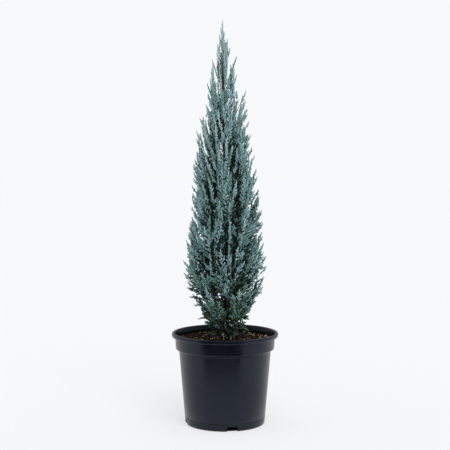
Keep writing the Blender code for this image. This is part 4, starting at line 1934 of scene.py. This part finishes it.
        end = min(self.tip_longest, self.tip_share * total)
        width = self.tip_width * self.at_height(self.shoot_width, path[-1].z)
        ahead = self.tip_ahead if self.outlined(path[-1] + axis * self.tip_ahead) else 0.0
        out.add_shoot(path[-1] - axis * (end - ahead), axis, UP, end, width, spray, ShootForm.LEADING)

    def sprig(
        self,
        allowed: Allowed,
        path: Sequence[Vector],
        girth: float,
        bare: float,
        reach: float | None,
        out: Harvest,
        slender: bool = False,
    ) -> None:
        """Grows a young twig on a line: its wood, and its branchlets.

        Args:
            allowed: tells whether a shoot may end at a point.
            path: the twig's line.
            girth: its radius where it starts.
            bare: the share of its length that carries no branchlets.
            reach: the length of its longest branchlet, if not that of a twig of its length.
            out: what is grown.
            slender: whether its branchlets stay nearly as long, and closer together, up to its tip.
        """
        total = length_of(path)
        longest = self.reach_of(total, path[-1].z) if reach is None else reach
        out.add_line(path[:-1], girth, self.tip_girth, Wood.YOUNG)
        self.feather(allowed, path, bare * total, longest, out, slender)

    def reach_of(self, length: float, height: float) -> float:
        """Gives the length of the longest branchlet on a twig of some length, at a height."""
        slim, longest = self.at_height(self.side_share, height), self.at_height(self.longest, height)
        return min(longest, slim * length + 3 * MM)

    def trimmed(self, path: list[Vector]) -> list[Vector]:
        """Cuts a twig's line back to where the foliage reaches."""
        for _ in range(12):
            radius, azimuth = self.crown.polar(path[-1])
            if radius <= self.limit(path[-1].z, azimuth) or len(path) < 4:
                break
            last = path[-1].lerp(path[-2], 0.5)
            path = [*path[:-1], last] if (last - path[-2]).length > 2 * MM else path[:-1]
        return path

    def twig(
        self,
        space: PlumeSpace,
        share: float,
        side: float,
        lift: float,
        reach: float,
        out: Harvest,
        bare: float = 0.22,
        root: float | None = None,
    ) -> None:
        """Grows one side twig of a plume from its stem towards the outline.

        Args:
            space: the plume's space.
            share: its place on the stem.
            side: where it heads on the outline, from -1 to 1 across the slice.
            lift: the same, from 0 to 1 up the slice.
            reach: how much of the way to the outline it goes.
            out: what is grown.
            bare: the share of its length that carries no branchlets.
            root: where the stem is taken to start, if not at its bough's tip.
        """
        path = self.drawn_in([space.toward(share, side, lift, reach * step / 10, root) for step in range(11)])
        path = self.trimmed(path)
        total = length_of(path)
        if total < self.shortest_twig or self.parted(path[-1]) or self.parted(path[len(path) * 2 // 3]):
            return
        leads = space.foot >= self.crown.leader_foot
        girth = min(self.most_girth, self.least_girth + self.girth_gain * total)
        self.sprig(self.kept_to(space), path, girth, bare, self.lone_reach * total if leads else None, out, leads)

    def kept_to(self, space: PlumeSpace) -> Allowed:
        """Gives the test that also keeps shoots from going deep into the neighbours of a plume."""
        return lambda point: self.allows(point) and space.room(point) > -self.overlap

    def plume(self, space: PlumeSpace, out: Harvest) -> None:
        """Grows one plume: its stem, the source's twigs, others towards the slice's edges, and shorter ones inside.

        Args:
            space: the plume's space.
            out: what is grown.
        """
        leads = space.foot >= self.crown.leader_foot
        if leads:
            self.fine = random.Random(self.leader_seed)
        stem = self.trimmed(self.drawn_in([space.stem(share) for share in shares(12)]))
        half = len(stem) * 2 // 3
        thick, slim = self.stem_girths
        out.add_line(stem[: half + 1], thick, slim, Wood.OLD)
        out.add_line(stem[half:-1], slim, self.tip_girth, Wood.YOUNG)
        total = length_of(stem)
        reach = self.leader_reach if leads else self.reach_of(total, stem[-1].z)
        allowed = self.outlined if leads else self.kept_to(space)
        self.feather(allowed, stem, (self.leader_bare if leads else self.stem_bare) * total, reach, out, leads)
        turn = self.rng.uniform(0, math.tau)
        for index in range(space.twigs):
            turn += GOLDEN_ANGLE
            share = self.first_twig + (self.last_twig - self.first_twig) * index / (space.twigs - 1)
            side, lift = self.side_spread * math.cos(turn), 0.5 + self.tier_spread * math.sin(turn)
            far = (self.rng.uniform(*self.source_reach) + self.source_inset) * (self.leader_slim if leads else 1.0)
            self.twig(space, share, side, lift, far, out)
        out.nodes.append(space.node)
        if leads:
            self.stand_alone(self.lone_shoots, out)
            return
        for more in self.rounds:
            count = round(self.at_height(more.counts, space.foot, self.foot_grades))
            for index in range(count):
                turn += GOLDEN_ANGLE
                share = more.first + more.span * index / count
                side, lift = more.side_spread * math.cos(turn), 0.5 + more.tier_spread * math.sin(turn)
                self.twig(space, share, side, lift, self.fine.uniform(*more.reach), out, more.bare, space.inner)

    def stand_alone(self, shoots: Shoots, out: Harvest) -> None:
        """Grows slim shoots that stand out one by one, such as those of the spire.

        Args:
            shoots: for each its tip's height, its way across and to the back, its drop and its branchlets' length.
            out: what is grown.
        """
        for top, *rest in shoots:
            across, back, drop, reach = (value * MM for value in rest)
            path = []
            for way in shares(10):
                centre = self.crown.trunk.centre(top - drop * (1 - way))
                path.append(centre + way**0.85 * Vector((across, back, 0.0)))
            self.sprig(self.outlined, path, 0.0008, 0.15, reach, out, True)

    def trunk_spray(self, index: int, out: Harvest) -> None:
        """Grows one slim spray straight from the trunk's lower half, flatter than the boughs among which it stands.

        Args:
            index: its place, counted from the foot up.
            out: what is grown.
        """
        share = (index + 0.5) / self.trunk_sprays
        foot = self.lowest + self.spray_span * share**1.2
        azimuth = GOLDEN_ANGLE * index + self.fine.uniform(-0.3, 0.3)
        flat = self.fine.uniform(*self.spray_flat) + 0.25 * share
        start = self.crown.trunk.radius(foot)
        far = start
        while self.crown.radius_at(self.spray_height(foot, far, flat)) > far:
            far += 1 * MM
        drawn = (0.97 - 0.05 * math.sin(azimuth)) * min(1.0, 0.70 + 0.9 * share)
        end = start + (far - start) * self.fine.uniform(*self.spray_reach) * drawn
        path = []
        for step in range(10):
            radius = start + (end - start) * step / 9
            height = self.spray_height(foot, radius, flat)
            path.append(self.crown.trunk.centre(height) + radius * outward(azimuth))
        self.sprig(self.outlined, path, 0.0009, 0.14, None, out)

    def edge_shoot(self, index: int, out: Harvest) -> None:
        """Grows one short shoot at the edge, which leans out by itself from among the plumes.

        Args:
            index: its place, counted from the foot up.
            out: what is grown.
        """
        low, high = self.edge_span
        height = low + (high - low) * (index + 0.5) / self.edge_shoots
        azimuth = GOLDEN_ANGLE * index + self.fine.uniform(-0.3, 0.3)
        flat = clamp((0.33 - height) / 0.09)
        run = (self.fine.uniform(*self.edge_run) + 5 * flat) * MM
        rise = run * (self.fine.uniform(1.2, 1.9) * (1 - flat) + self.fine.uniform(0.2, 0.7) * flat)
        far = self.edge(height, azimuth) * self.fine.uniform(*self.edge_share)
        near = min(far - run, 0.86 * self.edge(height - rise, azimuth))
        path = []
        for share in shares(6):
            radius = near + (far - near) * share + 0.10 * run * math.sin(math.pi * share)
            path.append(self.crown.trunk.centre(height - rise * (1 - share)) + radius * outward(azimuth))
        if not (self.parted(path[-1]) or self.parted(path[3])):
            self.sprig(self.outlined, path, 0.0007, 0.1, self.edge_reach, out, True)

    def foot_spike(self, index: int, out: Harvest) -> None:
        """Grows one long flat spray low on the trunk, which stands out by itself at the outline.

        Args:
            index: its place in the list.
            out: what is grown.
        """
        height, *rest = self.foot_spikes[index]
        across, back, rise = (value * MM for value in rest)
        start = self.crown.trunk.centre(height - rise)
        end = self.crown.trunk.centre(height) + Vector((across, back, 0.0))
        arch = self.spike_arch
        path = [start.lerp(end, way) + arch * math.sin(math.pi * way) * way * UP for way in shares(13)[3:]]
        self.sprig(self.above_mix, path, 0.0009, 0.10, self.spike_reach, out)

    def above_mix(self, point: Vector) -> bool:
        """Tells whether a point is clear of the mix and the rim."""
        over_mix = point.z > self.lowest and self.crown.polar(point)[0] < self.mix_reach
        return over_mix or point.z > self.rim_clear

    def foot_sprig(self, index: int, out: Harvest) -> None:
        """Grows one short sprig round the stem's foot, where the light hardly reaches.

        Args:
            index: its place, counted from the foot up.
            out: what is grown.
        """
        low, high = self.foot_sprig_heights
        share = (index + 0.5) / self.foot_sprigs
        foot = low + (high - low) * share
        azimuth = GOLDEN_ANGLE * index + self.fine.uniform(-0.4, 0.4)
        lift = math.radians(self.fine.uniform(*self.sprig_lift) + 25 * share)
        length = self.fine.uniform(*self.sprig_length) * MM + 18 * MM * share
        start = self.crown.trunk.centre(foot) + self.crown.trunk.radius(foot) * outward(azimuth)
        path = []
        for step in range(8):
            way = length * step / 7
            rise = math.sin(lift) * way + 4.0 * way * way
            path.append(start + math.cos(lift) * way * outward(azimuth) + rise * UP)
        out.add_line(path[:-1], 0.0007, self.tip_girth, Wood.YOUNG)
        self.feather(self.allows, path, 0.24 * length, self.foot_reach, out)

    def stub(self, index: int, out: Harvest) -> None:
        """Leaves one bare dead stub near the stem's foot."""
        way = outward(self.stub_sides[index])
        start = self.crown.trunk.centre(0.150) + self.fine.uniform(13, 17) * MM * way
        end = start + self.fine.uniform(-3, 5) * MM * way + self.fine.uniform(11, 17) * MM * UP
        out.add_line([start.lerp(end, share) for share in shares(4)], 0.0012, 0.0008, Wood.DEAD)

    def spray_height(self, foot: float, radius: float, flat: float) -> float:
        """Gives the height of a trunk spray where it is this far out."""
        return foot + (self.crown.limb_height(foot, radius) - foot) * flat

    def shoot(self, form: ShootForm) -> Piece:
        """Makes a shoot of unit length and half width: whorls of three scales, a few faces each.

        Args:
            form: which shoot.

        Returns:
            The shoot, along +Z, bent a little to +X.
        """
        whorls, slim, bend, bulge = SHOOT_MAKES[form]
        points, rings = [], []
        for whorl in range(whorls):
            share = whorl / whorls
            taper = 1 - slim * share**1.5
            for height, radius in ((share, 0.66), (share + bulge / whorls, 1.06)):
                rings.append(len(points))
                for corner in range(3):
                    angle = math.tau * corner / 3 + math.pi / 3 * whorl
                    off = radius * taper * math.cos(angle) + bend * height**2
                    points.append((off, radius * taper * math.sin(angle), height))
        tip = len(points)
        points.append((1.05 * bend, 0.0, 1.04))
        faces = [(2, 1, 0)]
        for index, (low, high) in enumerate(zip(rings, rings[1:])):
            if index % 2 == 0:
                faces += [(low + k, low + (k + 1) % 3, high + (k + 1) % 3, high + k) for k in range(3)]
                continue
            for k in range(3):
                faces.append((low + k, low + (k + 1) % 3, high + k))
                faces.append((low + (k + 1) % 3, high + (k + 1) % 3, high + k))
        faces += [(rings[-1] + k, rings[-1] + (k + 1) % 3, tip) for k in range(3)]
        made = mesh_object(f"shoot_{form.value}_{form.name.lower()}", points, faces, outward=True)
        made.data.shade_smooth()
        return made

    def dress(self, name: str, out: Harvest, store: ShapeStore, leaves: Sequence[Material]) -> None:
        """Turns a turn's shoots into one plain mesh.

        Args:
            name: the piece's name.
            out: what was grown.
            store: the unit shoots.
            leaves: the materials in the order of the tints.
        """
        base = mesh_object(f"{name}_feet", zip(*[iter(out.feet)] * 3))
        give(base, "turn", "FLOAT_VECTOR", out.turns)
        give(base, "size", "FLOAT_VECTOR", out.sizes)
        give(base, "tint", "INT", out.tints)
        give(base, "form", "INT", out.forms)
        grower = Grower(f"{name}_shoots", width_share=1.0, length_share=1.0)
        width, length = grower.inputs["width_share"], grower.inputs["length_share"]
        share = grower.add("ShaderNodeCombineXYZ", links={"X": width, "Y": width, "Z": length}).outputs[0]
        size = grower.times(grower.named("size", "FLOAT_VECTOR"), share)
        turn = grower.named("turn", "FLOAT_VECTOR")
        put = grower.placed(grower.inputs["Geometry"], store, "form", turn, size)
        grower.finish(put, leaves, "tint")
        hold(grower.grown(base, name), Slot.FOLIAGE, *out.nodes)

    def twigs(self, harvests: Iterable[Harvest]) -> None:
        """Turns all the twigs' lines into one plain mesh of slim tubes."""
        whole = Harvest()
        for out in harvests:
            whole.take(out)
        base = mesh_object("twig_lines", whole.joints, edges=whole.links)
        give(base, "girth", "FLOAT", whole.girths)
        give(base, "wood", "INT", whole.woods)
        grower = Grower("twig_tubes", girth_share=1.0, sides=5)
        given = grower.inputs
        lines = grower.add("GeometryNodeMeshToCurve", links={"Mesh": given["Geometry"]}).outputs[0]
        ring = grower.add("GeometryNodeCurvePrimitiveCircle", {"Radius": 1.0}, {"Resolution": given["sides"]})
        girth = grower.times(grower.named("girth", "FLOAT"), given["girth_share"])
        links = {"Curve": lines, "Profile Curve": ring.outputs[0], "Scale": girth}
        tubes = grower.add("GeometryNodeCurveToMesh", {"Fill Caps": True}, links).outputs[0]
        grower.finish(tubes, [TWIG_FINISHES[wood].material() for wood in Wood], "wood")
        hold(grower.grown(base, "twigs"), Slot.BARK)

    def build(self, spaces: Sequence[PlumeSpace]) -> None:
        """Grows every plume and all that stands between them, then dresses the foliage piece by piece.

        Args:
            spaces: the plumes' spaces, from the foot up.
        """
        harvests: dict[str, Harvest] = {}
        for space in spaces:
            name = f"{space.node.split('_')[0]}_foliage"
            self.plume(space, harvests.setdefault(name, Harvest()))
        growing = (
            ("trunk_sprays", self.trunk_spray, self.trunk_sprays),
            ("foot_sprigs", self.foot_sprig, self.foot_sprigs),
            ("foot_sprigs", self.foot_spike, len(self.foot_spikes)),
            ("foot_sprigs", self.stub, len(self.stub_sides)),
            ("edge_shoots", self.edge_shoot, self.edge_shoots),
        )
        for name, grow, count in growing:
            out = harvests.setdefault(name, Harvest())
            for index in range(count):
                grow(index, out)
        self.stand_alone(self.back_shoots, harvests["edge_shoots"])
        store = ShapeStore("unit_shoots", [self.shoot(form) for form in ShootForm])
        leaves = [LEAF_FINISHES[tint].material() for tint in Tint]
        for name, out in harvests.items():
            self.dress(name, out, store, leaves)
        store.clear()
        self.twigs(harvests.values())
        log.info("shoots: %d", sum(len(out.tints) for out in harvests.values()))


# The room around it.


@dataclass
class Studio:
    """The pale floor and backdrop, soft white light all round, and the camera where the photograph was taken."""

    floor_radius: float = 14.0
    floor_colour: str = "#A2A3A6"
    floor_glow: float = 0.630
    surround: str = "#F7F8FA"
    backdrop_glow: float = 1.005
    horizon_light: float = 0.42
    zenith_light: float = 0.85
    overhead: float = 1.2
    overhead_angle: float = 40.0
    flag_distance: float = 0.36
    flag_angle: float = 42.0
    flag_turn: float = -7.0
    flag_height: float = 1.2
    camera_place: Triple = (0.0, -2.0, 0.495)
    camera_pitch: float = 0.0696
    lens: float = 90.32

    soft_tilt: Pair = (38.0, 14.0)

    def glowing(self, name: str, colour: str, glow: float) -> Material:
        """Makes a matt white that glows, as paper does when it is lit from behind.

        Args:
            name: the material's name.
            colour: what it gives back of the light that falls on it.
            glow: how bright it is by itself.

        Returns:
            The material.
        """
        made = Surface(name, colour, 0.9, 0.1)
        made.set({"Emission Color": linear(self.surround), "Emission Strength": glow})
        return made.material

    def staged(self, piece: Piece, material: Material, *unseen: str) -> None:
        """Makes a piece part of the stage.

        Args:
            piece: the piece.
            material: its material.
            *unseen: the kinds of rays that pass it by.
        """
        piece.data.materials.append(material)
        for sight in unseen:
            setattr(piece, f"visible_{sight}", False)

    def floor(self) -> None:
        """Lays the floor."""
        turn = [math.tau * step / 96 for step in range(96)]
        ring = [(self.floor_radius * math.cos(a), self.floor_radius * math.sin(a), 0.0) for a in turn]
        floor = mesh_object("studio_floor", ring, [tuple(range(len(ring)))])
        self.staged(floor, self.glowing("lit_studio_floor", self.floor_colour, self.floor_glow))

    def backdrop(self) -> None:
        """Hangs the backdrop all round and overhead. It is only looked at, and sheds and stops no light."""
        points = []
        steps, sides, reach = 9, 48, 0.99 * self.floor_radius
        for step in range(steps):
            tilt = math.pi / 2 * step / steps
            level, height = reach * math.cos(tilt), reach * math.sin(tilt) - 0.01
            for side in range(sides):
                turn = math.tau * side / sides
                points.append((level * math.cos(turn), level * math.sin(turn), height))
        last = (steps - 1) * sides
        faces = stitched(steps, sides)
        faces += [(last + side, last + (side + 1) % sides, len(points)) for side in range(sides)]
        points.append((0.0, 0.0, reach))
        backdrop = mesh_object("paper_backdrop", points, faces)
        paper = self.glowing("lit_backdrop_paper", "#000000", self.backdrop_glow)
        self.staged(backdrop, paper, "diffuse", "glossy", "transmission", "volume_scatter", "shadow")

    def flag(self) -> None:
        """Stands a black flag before the pot, which is seen only in its sheen and keeps the middle of that dark."""
        points = []
        for step in range(13):
            angle = math.radians(self.flag_angle * (step / 6 - 1) + self.flag_turn)
            x, y = self.flag_distance * math.sin(angle), -self.flag_distance * math.cos(angle)
            points += [(x, y, 0.001), (x, y, self.flag_height)]
        faces = [(2 * k, 2 * k + 1, 2 * k + 3, 2 * k + 2) for k in range(12)]
        flag = mesh_object("black_flag", points, faces)
        cloth = Surface("black_flag_cloth", "#0B0B0C", 1.0, 0.0).material
        self.staged(flag, cloth, "camera", "diffuse", "transmission", "volume_scatter", "shadow")

    def lights(self) -> None:
        """Sets the white surround, brighter overhead, and one wide soft light from above."""
        world = bpy.data.worlds.new("white_surround")
        bpy.context.scene.world = world
        world.use_nodes = True
        tree = world.node_tree
        back = tree.nodes["Background"]
        way = add_node(tree, "ShaderNodeTexCoord").outputs["Generated"]
        height = add_node(tree, "ShaderNodeSeparateXYZ", links={0: way}).outputs["Z"]
        span = {"From Min": 0.05, "From Max": 1.0, "To Min": self.horizon_light, "To Max": self.zenith_light}
        glow = add_node(tree, "ShaderNodeMapRange", span, {"Value": height})
        back.inputs["Color"].default_value = linear(self.surround)
        tree.links.new(glow.outputs["Result"], back.inputs["Strength"])
        lamp = bpy.data.lights.new("overhead_softbox", "SUN")
        lamp.energy = self.overhead
        lamp.angle = math.radians(self.overhead_angle)
        soft = bpy.data.objects.new("overhead_softbox", lamp)
        soft.rotation_euler = (*(math.radians(tilt) for tilt in self.soft_tilt), 0.0)
        bpy.context.scene.collection.objects.link(soft)

    def camera(self) -> None:
        """Sets the camera."""
        data = bpy.data.cameras.new("camera")
        data.lens = self.lens
        data.sensor_width = 36.0
        data.clip_end = 60.0
        camera = bpy.data.objects.new("camera", data)
        camera.location = self.camera_place
        camera.rotation_euler = (math.pi / 2 - self.camera_pitch, 0.0, 0.0)
        bpy.context.scene.collection.objects.link(camera)
        bpy.context.scene.camera = camera

    def build(self) -> None:
        """Builds the room and sets how bright the picture is shown."""
        self.floor()
        self.backdrop()
        self.flag()
        self.lights()
        self.camera()
        view = bpy.context.scene.view_settings
        view.view_transform = "Standard"
        view.look = "None"
        log.info("the room is set")


def main() -> None:
    """Builds the plant from the pot up, then the room around it."""
    logging.basicConfig(level=logging.INFO, format="%(name)s: %(message)s")
    Studio().build()
    pot = NurseryPot()
    pot.build()
    PottingMix(pot).build()
    trunk = Trunk()
    crown = Crown(trunk)
    spaces = crown.spaces()
    trunk.build(spaces)
    Foliage(crown).build(spaces)


if __name__ == "__main__":
    main()
